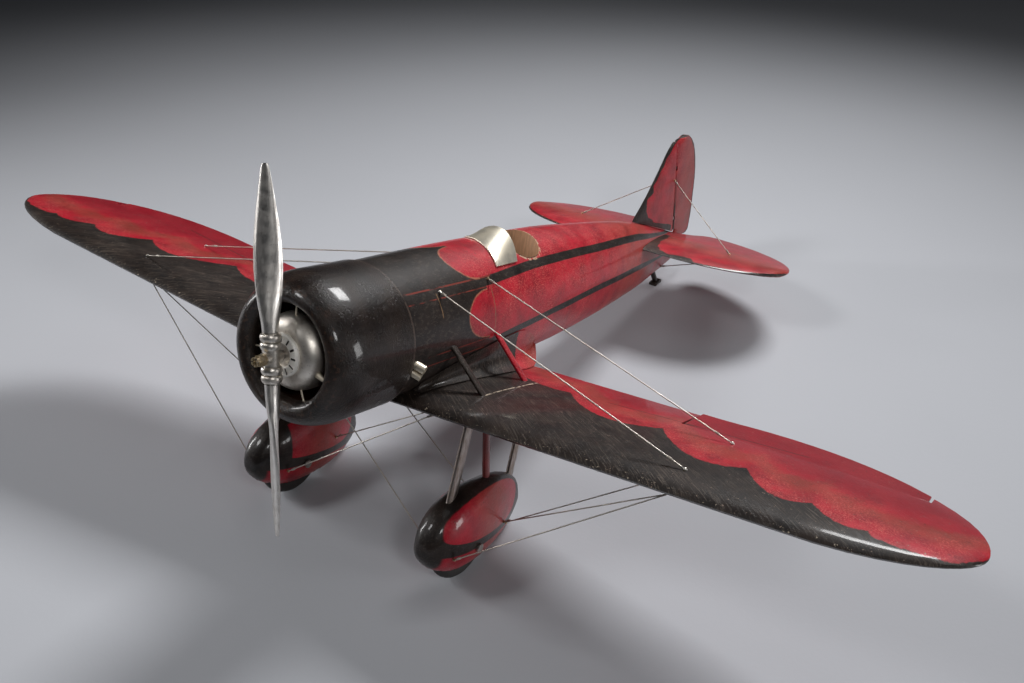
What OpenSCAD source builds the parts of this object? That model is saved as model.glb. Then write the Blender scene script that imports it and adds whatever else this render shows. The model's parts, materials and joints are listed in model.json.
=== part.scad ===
// Low-wing racing monoplane, a carved and painted wooden model with metal fittings.
// Every piece is laid out with the aircraft level: nose towards -Y, wings along X,
// propeller hub at the origin. stance() then sets it down on its two wheels and tail skid.

/* [Wing] */
// Wing span, tip to tip
span = 500; // [460:10:560]
// Chord at the centre line
root_chord = 89; // [80:1:96]
// Distance of the wing's leading edge behind the propeller disc, at the centre line
wing_y = 57; // [54:0.5:62]
// Height of the wing's chord plane at the centre line, below the thrust line
wing_drop = 27.8; // [26.5:0.1:29]
// Dihedral of each wing
dihedral = 5.94; // [4:0.1:7]
// Greatest thickness of the wing over its chord
wing_ratio = 0.1; // [0.085:0.005:0.11]
// Forward sweep of the leading edge, millimetres for each millimetre of span
le_sweep = 0.065; // [0.03:0.005:0.08]
// Forward sweep of the trailing edge, millimetres for each millimetre of span
te_sweep = 0.1; // [0.06:0.005:0.12]
// Share of the half span where the round of the trailing edge starts
te_round = 0.56; // [0.5:0.02:0.7]
// Share of the half span where the round of the leading edge starts
le_round = 0.8; // [0.7:0.02:0.88]
// Thickness of the trailing edges of wing and tail
edge_t = 0.8; // [0.6:0.1:1.2]

/* [Ailerons] */
// Inboard end of each aileron, from the centre line
aileron_in = 125; // [110:1:140]
// Length of each aileron along the span
aileron_l = 101; // [85:1:104]
// Aileron chord at its inboard end, hinge line to trailing edge
aileron_c1 = 19.5; // [16:0.5:22]
// Aileron chord at its outboard end
aileron_c2 = 5; // [4.5:0.5:7]
// How far the trailing edge stands up at rest
aileron_rest = 1; // [0:0.5:4]

/* [Fuselage] */
// Length of the fuselage, propeller disc to stern
body_l = 368; // [350:2:390]
// Half width of the fuselage at the cockpit
body_w = 29.5; // [28:0.5:31]
// Half height of the fuselage at the cockpit
body_h = 32; // [31:0.5:33]
// Radius of the fuselage where the cowling ends
nose_r = 30.6; // [30:0.1:31]
// Front edge of the cockpit opening
cockpit_y = 138; // [134:1:142]
// Length of the cockpit opening
cockpit_l = 32; // [28:1:36]
// Half width of the cockpit opening
cockpit_w = 17.5; // [15:0.5:18]
// Depth of the cockpit below the thrust line's level
cockpit_floor = 2; // [0:1:6]
// Height of the windshield's arch above the fuselage
screen_h = 7; // [5:0.5:8]
// Thickness of the windshield's sheet metal
screen_t = 0.5; // [0.4:0.1:0.8]

/* [Cowling] */
// Outer radius of the cowling
cowl_r = 31.5; // [31:0.1:33]
// Radius of the cowling's front opening
cowl_open = 19.7; // [19:0.1:20]
// Front edge of the cowling, behind the propeller disc
cowl_y = 5.8; // [5:0.1:7]
// Length of the cowling
cowl_l = 43; // [40:1:46]
// Wall of the cowling
cowl_wall = 2.4; // [2:0.1:3]
// Radius of the gear case dome
dome_r = 15.9; // [14:0.1:16]

/* [Propeller] */
// Propeller radius, hub centre to blade tip
prop_r = 73; // [68:1:76]
// Widest blade chord
blade_c = 11.1; // [10:0.1:14]
// Angle of the blades from upright at rest, seen from the front
prop_turn = 9.2; // [0:0.1:20]
// Radius of the propeller shaft
shaft_r = 1.6; // [1.3:0.1:2]

/* [Landing gear] */
// Distance of each wheel from the centre line
track = 51; // [46:1:54]
// Distance of the axles behind the propeller disc
axle_y = 72.5; // [70:0.5:75]
// Distance of the axles below the thrust line
axle_drop = 84; // [82:0.5:88]
// Radius of the tyres
wheel_r = 18.5; // [17:0.5:19.5]
// Width of the tyres
wheel_w = 8.6; // [7:0.2:9]
// Radius of the axles
axle_r = 1.5; // [1.2:0.1:1.8]
// Length of each spat
spat_l = 74; // [70:1:80]
// Height of each spat above its widest line
spat_up = 22; // [20:0.5:24]
// Depth of each spat below its widest line
spat_down = 16.5; // [15:0.5:17]
// Width of each spat
spat_w = 22; // [18:0.5:23]

/* [Tail] */
// Half span of the tailplane
tail_half = 90.5; // [82:0.5:98]
// Greatest chord of the tailplane
tail_c = 89; // [80:1:94]
// Height of the tailplane above the thrust line
tail_z = 11.5; // [10:0.5:12]
// Height of the fin's top above the thrust line
fin_top = 77; // [70:1:82]
// Thickness of fin and tailplane
tail_t = 4; // [3.4:0.2:4.6]
// Lean of the rudder's hinge line, degrees forward at the top
rudder_lean = 21; // [16:0.5:24]

/* [Fits] */
// Radial clearance of everything that turns on a shaft or pin
run_fit = 0.05; // [0.02:0.01:0.1]
// Gap between carved pieces that lie against each other
glue_gap = 0.15; // [0.1:0.05:0.3]
// Gap beside a surface that swings
swing_gap = 0.4; // [0.3:0.1:0.6]
// Radius of the bracing wires
wire_r = 0.28; // [0.2:0.02:0.5]
// Radius of the pins that the wires are made off to
anchor_r = 0.6; // [0.5:0.1:1]
// Clearance of wire pins and clamp rings on what carries them
seat_fit = 0.03; // [0.01:0.01:0.06]
// Radius of the hinge pins
pin_r = 0.45; // [0.4:0.05:0.5]

/* [Hidden] */
$fn = 48;

BLACK = [0.07, 0.06, 0.055];
RED = [0.52, 0.03, 0.06];
SILVER = [0.78, 0.78, 0.76];
STEEL = [0.55, 0.56, 0.58];
RUBBER = [0.05, 0.05, 0.05];

half = span / 2;
rise = tan(dihedral);
half_edge = edge_t / 2;

// Curves through a few stations, each [position, value], with smooth slopes between them
function cell(t, x, i = 0) = i >= len(t) - 2 || x < t[i + 1][0] ? i : cell(t, x, i + 1);
function grade(t, i) = let (a = t[max(i - 1, 0)], b = t[min(i + 1, len(t) - 1)]) (b[1] - a[1]) / (b[0] - a[0]);
function curve(t, x) =
    let (i = cell(t, x), h = t[i + 1][0] - t[i][0], u = min(max((x - t[i][0]) / h, 0), 1))
    t[i][1] * (1 + 2 * u) * pow(1 - u, 2) + t[i + 1][1] * u * u * (3 - 2 * u)
    + h * (grade(t, i) * u * pow(1 - u, 2) - grade(t, i + 1) * u * u * (1 - u));
function clamp(x, lo, hi) = min(max(x, lo), hi);
function bow(u) = 1 - sqrt(max(0, 1 - u * u));

// Half thickness of a streamlined section over its greatest half thickness
function section(s) = 10 * (0.2969 * sqrt(s) - 0.126 * s - 0.3516 * s * s + 0.2843 * pow(s, 3) - 0.1036 * pow(s, 4));

// Skin over rings that all have the same number of points, closed at both ends
module loft(rings) {
    n = len(rings[0]);
    m = len(rings);
    mid = [for (r = [rings[0], rings[m - 1]]) [for (k = [0:2]) mean([for (p = r) p[k]])]];
    side = [for (i = [0:m - 2], j = [0:n - 1]) let (a = i * n + j, b = i * n + (j + 1) % n)
            each [[a, b, a + n], [b, b + n, a + n]]];
    front = [for (j = [0:n - 1]) [(j + 1) % n, j, m * n]];
    back = [for (j = [0:n - 1]) [(m - 1) * n + j, (m - 1) * n + (j + 1) % n, m * n + 1]];
    polyhedron([each [for (r = rings) each r], each mid], concat(side, front, back));
}
function mean(v) = sum(v) / len(v);
function sum(v, i = 0) = i >= len(v) ? 0 : v[i] + sum(v, i + 1);

// A streamlined bar between two points, its chord along Y
module bar(a, b, chord, thick) {
    d = b - a;
    long = norm(d);
    lean = atan2(norm([d[0], d[1]]), d[2]);
    translate(a) rotate([0, 0, atan2(d[1], d[0])]) rotate([0, lean, 0]) rotate([0, 0, -atan2(d[1], d[0])])
        linear_extrude(long) polygon([for (i = [0:15]) lens(i / 16, chord, thick)]);
}
function lens(u, chord, thick) =
    let (s = 0.5 - 0.5 * cos(360 * u)) [sign(sin(360 * u)) * section(clamp(s, 0, 0.97)) * thick / 2, (s - 0.4) * chord];

// A round rod between two points
module rod(a, b, r) {
    d = b - a;
    translate(a) rotate([0, atan2(norm([d[0], d[1]]), d[2]), atan2(d[1], d[0])]) cylinder(h = norm(d), r = r, $fn = 24);
}

// STANCE
// The tail comes down until the skid's foot stands level with the tyres.
skid_foot = [0, body_l - 12, -23];
reach = norm([skid_foot[1] - axle_y, skid_foot[2] + axle_drop]);
stance_a = atan((skid_foot[2] + axle_drop) / (skid_foot[1] - axle_y)) + asin(wheel_r / reach);
function stood_y(p) = p[1] * cos(stance_a) + p[2] * sin(stance_a);
ground_z = -(axle_y * sin(stance_a) + axle_drop * cos(stance_a)) - wheel_r;
module stance() {
    translate([0, -(front_y + rear_y) / 2, -ground_z]) rotate([-stance_a, 0, 0]) children();
}
module mirrored(side) {
    if (side > 0) children();
    else mirror([1, 0, 0]) children();
}

// WING SHAPE
y_tip = 70;
tip_reach = 0.99995;
function le_line(x) = wing_y - le_sweep * x;
function te_line(x) = wing_y + root_chord - te_sweep * x;
function le(x) = x < le_round * half ? le_line(x)
    : le_line(le_round * half) + (y_tip - le_line(le_round * half)) * bow((x / half - le_round) / (1 - le_round));
function te(x) = x < te_round * half ? te_line(x)
    : te_line(te_round * half) + (y_tip - te_line(te_round * half)) * bow((x / half - te_round) / (1 - te_round));
function plane(x) = -wing_drop + rise * x;
camber = 0.15;
function wing_half_t(x, s) = (te(x) - le(x)) * wing_ratio / 2 * section(s) + half_edge * s;
function wing_s(x, y) = clamp((y - le(x)) / (te(x) - le(x)), 0, 1);
function wing_upper(x, y) = plane(x) + (1 + camber) * wing_half_t(x, wing_s(x, y));
function wing_lower(x, y) = plane(x) - (1 - camber) * wing_half_t(x, wing_s(x, y));
function wing_ring(x) = [for (i = [12:-1:-12]) let (s = pow(sin(90 * abs(i) / 12), 2), y = le(x) + s * (te(x) - le(x)))
    [x, y, i > 0 ? wing_lower(x, y) : wing_upper(x, y)]];
wing_x = [for (i = [0:22]) half * min(sin(90 * (1 - pow(1 - i / 22, 1.3))), tip_reach)];

// Hinge line of the aileron, and its nose radius at either end
aileron_out = aileron_in + aileron_l;
hinge_1 = [aileron_in, te(aileron_in) - aileron_c1];
hinge_2 = [aileron_out, te(aileron_out) - aileron_c2];
function mid_wing(x, y) = (wing_upper(x, y) + wing_lower(x, y)) / 2;
function half_wing(x, y) = (wing_upper(x, y) - wing_lower(x, y)) / 2;
axis_1 = [hinge_1[0], hinge_1[1], mid_wing(hinge_1[0], hinge_1[1])];
axis_2 = [hinge_2[0], hinge_2[1], mid_wing(hinge_2[0], hinge_2[1])];
axis_dir = (axis_2 - axis_1) / norm(axis_2 - axis_1);
nose_1 = half_wing(hinge_1[0], hinge_1[1]);
nose_2 = half_wing(hinge_2[0], hinge_2[1]);
pin_hold = 3;

// FUSELAGE SHAPE
nose_y = cowl_y + cowl_l;
aft_y = cockpit_y + 12;
function aft(u) = aft_y + (body_l - aft_y) * u;
width_at = [[nose_y, nose_r], [cockpit_y - 28, body_w + 0.5], [aft_y, body_w - 1], [aft(0.1835), 26.5],
    [aft(0.413), 22], [aft(0.596), 17], [aft(0.734), 12.5], [aft(0.8945), 6.5], [body_l, 3]];
top_at = [[nose_y, nose_r], [cockpit_y - 28, body_h], [aft_y, body_h], [aft(0.1835), body_h],
    [aft(0.413), 29.5], [aft(0.596), 26.5], [aft(0.734), 22.5], [aft(0.8945), 15.5], [body_l, 11]];
bottom_at = [[nose_y, nose_r], [cockpit_y - 28, 31.5], [aft_y, 31.5], [aft(0.1835), 30.5],
    [aft(0.413), 27], [aft(0.596), 23.2], [aft(0.734), 20], [aft(0.8945), 14], [body_l, 9]];
function body_x(y) = curve(width_at, y);
function body_top(y) = curve(top_at, y);
function body_low(y) = curve(bottom_at, y);
// Half width of the fuselage at a height
function side_x(y, z) = body_x(y) * sqrt(max(0, 1 - pow(z / (z > 0 ? body_top(y) : body_low(y)), 2)));
// The fuselage sits on the wing, so its underside follows the wing's upper surface there
saddle_y1 = le_line(26) - 2 * glue_gap;
saddle_y2 = te_line(0) + 2 * glue_gap;
function seat(x, y) = y < saddle_y1 || y > saddle_y2 ? -99 : wing_upper(abs(x), y) + 2.5 * glue_gap;
function body_ring(y) = [for (i = [0:39]) let (x = body_x(y) * cos(9 * i), h = sin(9 * i))
    [x, y, max(h * (h > 0 ? body_top(y) : body_low(y)), seat(x, y))]];
body_y = [nose_y, saddle_y1 - 0.02, for (i = [0:14]) saddle_y1 + (saddle_y2 - saddle_y1) * pow(sin(90 * i / 14), 2),
    saddle_y2 + 0.02, for (u = [0.06:0.07:0.55]) saddle_y2 + (body_l - saddle_y2) * u,
    for (u = [0.6:0.04:1]) saddle_y2 + (body_l - saddle_y2) * u];

// TAIL SHAPE
tail_y = body_l - 69;
tail_tip_y = tail_y + 37;
tail_le_y = tail_y - 6.5;
tail_te_y = tail_le_y + tail_c;
function tail_le(x) = tail_le_y + (tail_tip_y - tail_le_y) * bow(clamp((x / tail_half - 0.3) / 0.7, 0, 1));
// The trailing edge is cut away at the root, where the rudder swings
cut_depth = tail_te_y - body_l + 6;
function tail_te(x) = tail_te_y + (tail_tip_y - tail_te_y) * bow(clamp((x / tail_half - 0.25) / 0.75, 0, 1))
    - cut_depth * bow(clamp((27 - x) / 15, 0, 1));

hinge_foot = [0, body_l - 4.2, tail_z + 2];
rudder_dir = [0, -sin(rudder_lean), cos(rudder_lean)];
rudder_h = (fin_top - hinge_foot[2]) / cos(rudder_lean);
function hinge_y(z) = hinge_foot[1] - (z - hinge_foot[2]) * tan(rudder_lean);
fin_foot_y = tail_y - 3;
fin_z0 = 18;
fin_le_at = [[fin_z0, fin_foot_y], [28, tail_y + 2.6], [36, tail_y + 10.6], [46.7, tail_y + 18.8],
    [fin_top - 21.4, tail_y + 25.2], [fin_top - 12.4, tail_y + 31], [fin_top - 5.3, tail_y + 37.5],
    [fin_top - 2, tail_y + 45], [fin_top, tail_y + 56]];
rudder_te_at = [[tail_z - 3, body_l + 17], [tail_z - 2.5, body_l + 20.5], [tail_z - 0.5, body_l + 23], [20, body_l + 22.8], [34, body_l + 19.6],
    [fin_top - 24, body_l + 14], [fin_top - 8, body_l + 3.9], [fin_top - 2, body_l - 4.6], [fin_top, body_l - 11]];
fin_tip = 72.6 / 77 * fin_top;
function fin_le(z) = curve(fin_le_at, z);
function rudder_te(z) = curve(rudder_te_at, z);

// PROPELLER SHAPE
function blade_chord(r) = curve([[10, 6.2], [14, 6.8], [18, 8.1], [24, 9.5], [30, blade_c - 0.7], [37, blade_c],
    [prop_r - 24, blade_c - 1.2], [prop_r - 14, blade_c - 3.7], [prop_r - 5, blade_c - 6.4], [prop_r - 1, 3.2], [prop_r, 2.2]], r);
function blade_thick(r) = curve([[10, 6], [18, 5.4], [28, 3.4], [46, 2.2], [prop_r, 0.9]], r);
function blade_pitch(r) = curve([[10, 52], [28, 40], [50, 26], [prop_r, 18]], r);
function blade_ring(r) = [for (i = [0:15]) let (u = blade_chord(r) / 2 * cos(22.5 * i), v = -blade_thick(r) / 2 * sin(22.5 * i), a = blade_pitch(r))
    [u * cos(a) - v * sin(a), u * sin(a) + v * cos(a), r]];
blade_r = [10.2, 13, 16, 20, 24, 29, 34, 40, prop_r - 27, prop_r - 21, prop_r - 15, prop_r - 10, prop_r - 5, prop_r - 2.5, prop_r - 1, prop_r];

// Foremost and rearmost points once stood on the ground, for the origin
function turned(p, a) = [p[0] * cos(a) + p[2] * sin(a), p[1], p[2] * cos(a) - p[0] * sin(a)];
front_y = min([for (r = blade_r, p = blade_ring(r)) stood_y(turned(p, 180 - prop_turn))]);
rear_y = max([for (z = [hinge_foot[2]:0.5:fin_top]) stood_y([0, rudder_te(z), z])]);

// SPAT SHAPE
spat_y = axle_y - 27.7;
spat_z = -axle_drop + 3.8;
spat_mid = 0.473 * spat_l;
function spat_u(y) = (y - spat_y - spat_mid) / (y < spat_y + spat_mid ? spat_mid : spat_l - spat_mid);
function spat_share(y) = pow(max(0, 1 - pow(abs(spat_u(y)), 2.4)), 1 / 2);
function spat_high(y) = spat_up * spat_share(y);
function spat_low(y) = spat_down * spat_share(y);
function spat_wide(y) = (spat_w / 2 - 0.9) * section(clamp((y - spat_y) / spat_l, 0, 1)) + 0.9;
function spat_ring(y) = [for (i = [0:23]) let (c = cos(15 * i), s = sin(15 * i))
    [track + spat_wide(y) * sign(c) * pow(abs(c), 0.85), y,
     spat_z + (s > 0 ? spat_high(y) : spat_low(y)) * sign(s) * pow(abs(s), 0.85)]];
spat_at = [for (i = [0:17]) spat_y + spat_l * (0.004 + 0.992 * pow(sin(90 * i / 17), 2))];

// PLACES OF STRUTS AND WIRE ANCHORS, on the left side
// Each leg is [top, foot, chord, thickness], the first two measured along Y
leg_front = [axle_y - 6, axle_y - 11.5, 7, 2.8];
leg_middle = [axle_y + 6, axle_y + 15, 5, 2.6];
leg_rear = [axle_y + 40, axle_y + 35, 6, 2.6];
leg_sink = 2.2;
function leg_top(y) = [track, y, wing_lower(track, y) + leg_sink];
function leg_foot(y) = [track, y, spat_z + spat_high(y) - leg_sink];

root_front_y = axle_y + 4.7;
root_rear_y = axle_y + 38.7;
function strut_top(y) = [side_x(y, -1) - 1.2, y, -1];
function strut_foot(y, x) = [x, y, wing_upper(x, y) - 1.4];

// An anchor is [point on the surface, outward direction]
up = [0, 0, 1];
function on_body(y, a) = let (p = [body_x(y) * cos(a), y, body_top(y) * sin(a)]) [p, [cos(a), 0, sin(a)]];
function on_wing(x, y) = [[x, y, wing_upper(x, y)], [-sin(dihedral), 0, cos(dihedral)]];
function below_wing(x, y) = [[x, y, wing_lower(x, y)], [sin(dihedral), 0, -cos(dihedral)]];
function on_spat(y, z, side) = [[track + side * spat_side(y, z), y, z], [side, 0, 0]];
function spat_side(y, z) = let (reach_z = z > spat_z ? spat_high(y) : spat_low(y))
    spat_wide(y) * pow(max(0, 1 - pow(abs(z - spat_z) / reach_z, 2 / 0.85)), 0.85 / 2);
head = 0.4;
function head_of(a) = a[0] + head * a[1];

nose_anchor = on_body(axle_y, 43);
cabin_anchor = on_body(axle_y + 36.5, 43);
wing_front = on_wing(148, 61);
wing_rear = on_wing(151, 101);
under_front = below_wing(148, 61);
under_rear = below_wing(151, 101);
spat_front = on_spat(axle_y - 17, -83.6, 1);
spat_rear = on_spat(axle_y + 26.6, -83.3, 1);
fin_anchor = [[tail_t / 2, hinge_y(48) - 4.2, 48], [1, 0, 0]];
stab_upper = [[53, tail_y + 36, tail_z + tail_t / 2], up];
stab_lower = [[53, tail_y + 36, tail_z - tail_t / 2], -up];
stern_y = body_l - 20;
stern_anchor = [[side_x(stern_y, -9), stern_y, -9], [1, 0, 0]];

module anchor_pin(a, more = 0) {
    rod(a[0] - 2.2 * a[1], a[0] + (head + 0.5 + more) * a[1], anchor_r);
}
module anchor_holes(list) {
    for (a = list) rod(a[0] - 2.25 * a[1], a[0] + 3 * a[1], anchor_r + seat_fit);
}
// Two wires on one pin lie one above the other
second = 2 * wire_r + 0.1;
module wire(a, b, up_a = 0, up_b = 0) {
    rod(head_of(a) + up_a * a[1], head_of(b) + up_b * b[1], wire_r);
}

// NOSE
module along_y() {
    rotate([-90, 0, 0]) children();
}

module cowl_profile() {
    lip_y = cowl_y + 17;
    lip_r = (cowl_r - cowl_open) * 0.32;
    shoulder = cowl_r - cowl_open - lip_r;
    outer = [for (a = [0:7.5:90]) [cowl_open + lip_r + shoulder * sin(a), lip_y - (lip_y - cowl_y) * cos(a)]];
    roll = [for (a = [90:-15:15]) [cowl_open + lip_r * (1 - sin(a)), cowl_y + lip_r * 1.3 * (1 - cos(a))]];
    inner = [for (a = [90:-11.25:0])
        [cowl_open + (cowl_r - cowl_wall - cowl_open) * sin(a), lip_y - (lip_y - cowl_y - 7) * cos(a)]];
    polygon([each roll, each outer, [cowl_r, nose_y], [cowl_r - cowl_wall, nose_y], each inner]);
}
module cowl_shell() {
    color(BLACK) stance() difference() {
        along_y() rotate_extrude($fn = 96) cowl_profile();
        dome_pin_rods(seat_fit);
    }
}

wall_y = cowl_y + 29;
module firewall() {
    color(BLACK) stance() translate([0, wall_y, 0]) along_y() difference() {
        cylinder(h = nose_y - wall_y, r = cowl_r - cowl_wall, $fn = 96);
        translate([0, 0, -1]) cylinder(h = 4, r = shaft_r + run_fit);
    }
}

case_y = cowl_y + 0.4;
dome_base = case_y + 8;
module gear_case() {
    color(SILVER) stance() difference() {
        along_y() rotate_extrude($fn = 72) polygon([[shaft_r + run_fit, case_y],
            each [for (a = [0:10:90]) [9.2 + (dome_r - 9.2) * sin(a), dome_base - (dome_base - case_y) * cos(a)]],
            [dome_r, dome_base + 3], [11.5, dome_base + 3], [11.5, wall_y], [shaft_r + run_fit, wall_y]]);
        dome_pin_rods(seat_fit);
    }
}

// The ring of slots round the propeller shaft
boss_in = 4.8;
boss_out = 8.8;
boss_h = 1.6;
module boss_ring() {
    color(SILVER) stance() translate([0, case_y - boss_h, 0]) along_y() difference() {
        rotate_extrude($fn = 72) polygon([[boss_in, 0.4], [boss_in + 0.4, 0], [boss_out - 0.7, 0],
            [boss_out, 0.7], [boss_out, boss_h], [boss_in, boss_h]]);
        for (a = [27:30:357]) rotate([0, 0, a]) translate([boss_in + 0.55, -0.45, -1]) cube([2.6, 0.9, 2.1]);
    }
}

// Each is [angle, radius at the dome, radius at the cowling]
dome_pegs = [[90, 0.4, 0.4], [-19, 1.5, 0.6], [-65, 0.4, 0.4], [190, 0.4, 0.4]];
module dome_pin_rods(more = 0) {
    for (p = dome_pegs) rotate([0, -p[0], 0]) translate([dome_r - 2 - more, cowl_y + 5.4, 0]) rotate([0, 90, 0])
        cylinder(h = cowl_open - dome_r + 3.6 + 2 * more, r1 = p[1] + more, r2 = p[2] + more, $fn = 24);
}
module dome_pins() {
    color(SILVER) stance() dome_pin_rods();
}

// PROPELLER
module prop_pose() {
    stance() rotate([0, -prop_turn, 0]) children();
}
hub_y1 = -3.9;
hub_y2 = case_y - boss_h - 0.5;
socket_r = 3.4;
socket_l = 10;
// The shaft steps down in front to the thread that carries the nut
thread_r = 1.1;
module prop_shaft() {
    color(STEEL) prop_pose() {
        rod([0, hub_y1, 0], [0, wall_y + 2.6, 0], shaft_r);
        rod([0, hub_y1 - 3.2, 0], [0, hub_y1 + 1, 0], thread_r);
    }
}
module prop_hub() {
    color(SILVER) prop_pose() difference() {
        union() {
            rod([0, hub_y1, 0], [0, hub_y2, 0], shaft_r + 1);
            rod([0, 0, -socket_l], [0, 0, socket_l], socket_r - 0.3);
        }
        rod([0, hub_y1 - 1, 0], [0, hub_y2 + 1, 0], shaft_r);
        for (s = [-1, 1]) rod([0, 0, s * (socket_l - 3.5)], [0, 0, s * (socket_l + 1)], stub_r);
    }
}
// The stub of each blade fills the socket's bore
stub_r = socket_r - 1.3;
module blade_shape() {
    loft([for (r = blade_r) blade_ring(r)]);
    rod([0, 0, socket_l - 3.5], [0, 0, socket_l + 3], stub_r);
}
module blade_upper() {
    color(SILVER) prop_pose() blade_shape();
}
module blade_lower() {
    color(SILVER) prop_pose() rotate([0, 180, 0]) blade_shape();
}
// Two beaded clamp rings on each socket of the hub
module clamp_rings() {
    color(SILVER) prop_pose() for (s = [0, 180], z = [3.3, 6.6]) rotate([0, s, 0]) translate([0, 0, z])
        rotate_extrude() polygon([[socket_r - 0.3 + seat_fit, 0],
            each [for (a = [-60:30:60]) [socket_r + 0.7 * cos(a), 1.5 + 1.5 * sin(a)]], [socket_r - 0.3 + seat_fit, 3]]);
}
// A castle nut, its crown cut by three cross slots
nut_l = 4.6;
nut_r = 2.3;
module hub_nut() {
    color(STEEL) prop_pose() along_y() translate([0, 0, hub_y1 - nut_l]) difference() {
        union() {
            translate([0, 0, 1.5]) cylinder(h = nut_l - 1.5, r = nut_r, $fn = 6);
            cylinder(h = 2, r = nut_r - 0.35, $fn = 32);
        }
        translate([0, 0, -1]) cylinder(h = nut_l + 2, r = thread_r + seat_fit);
        for (a = [0, 60, 120]) rotate([0, 0, a]) translate([-4, -0.3, -1]) cube([8, 0.6, 2]);
    }
}

// FUSELAGE
module cockpit_cut() {
    r = cockpit_l / 2;
    translate([0, cockpit_y + r, cockpit_floor]) linear_extrude(60)
        polygon([for (i = [0:35]) [cockpit_w * cos(10 * i), r * sign(sin(10 * i)) * pow(abs(sin(10 * i)), 0.8)]]);
}
function stub_root(i) = [27.5, nose_y + 2.4 - 0.2 * i, -3.8 - 3.75 * i];
function stub_run(i) = [6.7 - 1.5 * i, 1.7, -2];
module stub(i) {
    rod(stub_root(i), stub_root(i) + stub_run(i), 1.9 - 0.3 * i);
}
module stub_bore(i) {
    rod(stub_root(i) + 0.5 * stub_run(i), stub_root(i) + 1.1 * stub_run(i), 1.35 - 0.3 * i);
}
module fuselage() {
    color(RED) stance() difference() {
        loft([for (y = body_y) body_ring(y)]);
        cockpit_cut();
        for (side = [1, -1]) mirrored(side) {
            anchor_holes([nose_anchor, cabin_anchor, stern_anchor]);
            root_strut(root_front_y);
            root_strut(root_rear_y);
            for (i = [0, 1]) stub(i);
        }
        skid_stalk();
    }
}

// The hand-cut strip sits a little round to the left, its front edge askew
screen_mid = 78;
screen_a = 27;
function screen_y(u, v) = (1 - v) * (cockpit_y - 12.7 - 5.2 * u) + v * (cockpit_y - 0.4 + 0.8 * u);
function screen_lift(u, v) = glue_gap + 0.1 + screen_h * v * pow(cos(90 * abs(u)), 1.2);
function screen_point(u, v, out) =
    let (y = screen_y(u, v), h = screen_lift(u, v) + out, a = screen_mid - screen_a * u)
    [(body_x(y) + h) * cos(a), y, (body_top(y) + h) * sin(a)];
module windshield() {
    color(SILVER) stance() loft([for (i = [-9:9]) [
        for (v = [0:0.25:1]) screen_point(i / 9, v, screen_t),
        for (v = [1:-0.25:0]) screen_point(i / 9, v, 0)]]);
}

module exhausts() {
    for (i = [0, 1]) difference() {
        stub(i);
        stub_bore(i);
    }
}
module exhaust_left() {
    color(SILVER) stance() exhausts();
}
module exhaust_right() {
    color(SILVER) stance() mirror([1, 0, 0]) exhausts();
}

// WINGS
module aileron_notch() {
    translate([0, 0, -60]) linear_extrude(120) polygon([[aileron_in, hinge_1[1] - nose_1 - swing_gap],
        [aileron_out, hinge_2[1] - nose_2 - swing_gap], [aileron_out, 300], [aileron_in, 300]]);
}
module aileron_rod(r, more) {
    rod(axis_1 - more * axis_dir, axis_2 + more * axis_dir, r);
}
module wing_half() {
    difference() {
        loft([for (x = wing_x) wing_ring(x)]);
        aileron_notch();
        aileron_rod(pin_r, pin_hold);
        anchor_holes([wing_front, wing_rear, under_front, under_rear, root_front(1), root_rear(1)]);
        leg_bar(leg_front);
        leg_bar(leg_middle);
        leg_bar(leg_rear);
        root_strut(root_front_y);
        root_strut(root_rear_y);
    }
}
module wing_left() {
    color(RED) stance() wing_half();
}
module wing_right() {
    color(RED) stance() mirror([1, 0, 0]) difference() {
        loft([for (x = wing_x) wing_ring(x)]);
        aileron_notch();
        aileron_rod(pin_r, pin_hold);
        anchor_holes([wing_front, wing_rear, under_front, under_rear, root_front(-1), root_rear(-1)]);
        leg_bar(leg_front);
        leg_bar(leg_middle);
        leg_bar(leg_rear);
        root_strut(root_front_y);
        root_strut(root_rear_y);
    }
}

// The fairing between wing and fuselage, growing towards the trailing edge
fillet_y1 = saddle_y1 + 8;
fillet_y2 = te_line(26) + 15;
function fillet_size(y) = curve([[fillet_y1, 0.25], [fillet_y1 + 30, 0.62], [te_line(26) - 12, 1], [te_line(26), 0.95], [fillet_y2, 0.15]], y);
function fillet_ring(y) = let (
    k = fillet_size(y), past = max(0, y - te_line(26)), g = glue_gap + 0.1,
    zt = (past > 0 ? wing_upper(26, te_line(26)) + past * 0.35 : wing_upper(26, y)) + g + 0.1,
    a1 = asin(max(-1, zt / body_low(y))), a2 = asin(clamp((zt + 17 * k) / body_low(y), -0.9, 0.4)),
    w = body_x(y) + g, x1 = w * cos(a1), x2 = x1 + 17 * k,
    za = zt, zb = past > 0 ? zt + 0.02 * past : wing_upper(x2, min(y, te(x2))) + g + 0.1,
    top = [w * cos(a2), y, body_low(y) * sin(a2)], out = [x2, y, zb + 0.25], pull = [x1 + 3.4 * k, y, za + 2.6 * k])
    [for (i = [0:4]) let (a = a2 + (a1 - a2) * i / 4) [w * cos(a), y, body_low(y) * sin(a)],
     for (i = [1:4]) let (x = x1 + (x2 - x1) * i / 4) [x, y, past > 0 ? za + (zb - za) * i / 4 : wing_upper(x, min(y, te(x))) + g + 0.1],
     for (i = [0:6]) let (u = i / 6) (1 - u) * (1 - u) * out + 2 * u * (1 - u) * pull + u * u * (top + [0.25, 0, 0])];
module fillet() {
    loft([for (i = [0:16]) fillet_ring(fillet_y1 + (fillet_y2 - fillet_y1) * i / 16)]);
}
module fillet_left() {
    color(BLACK) stance() fillet();
}
module fillet_right() {
    color(BLACK) stance() mirror([1, 0, 0]) fillet();
}

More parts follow.
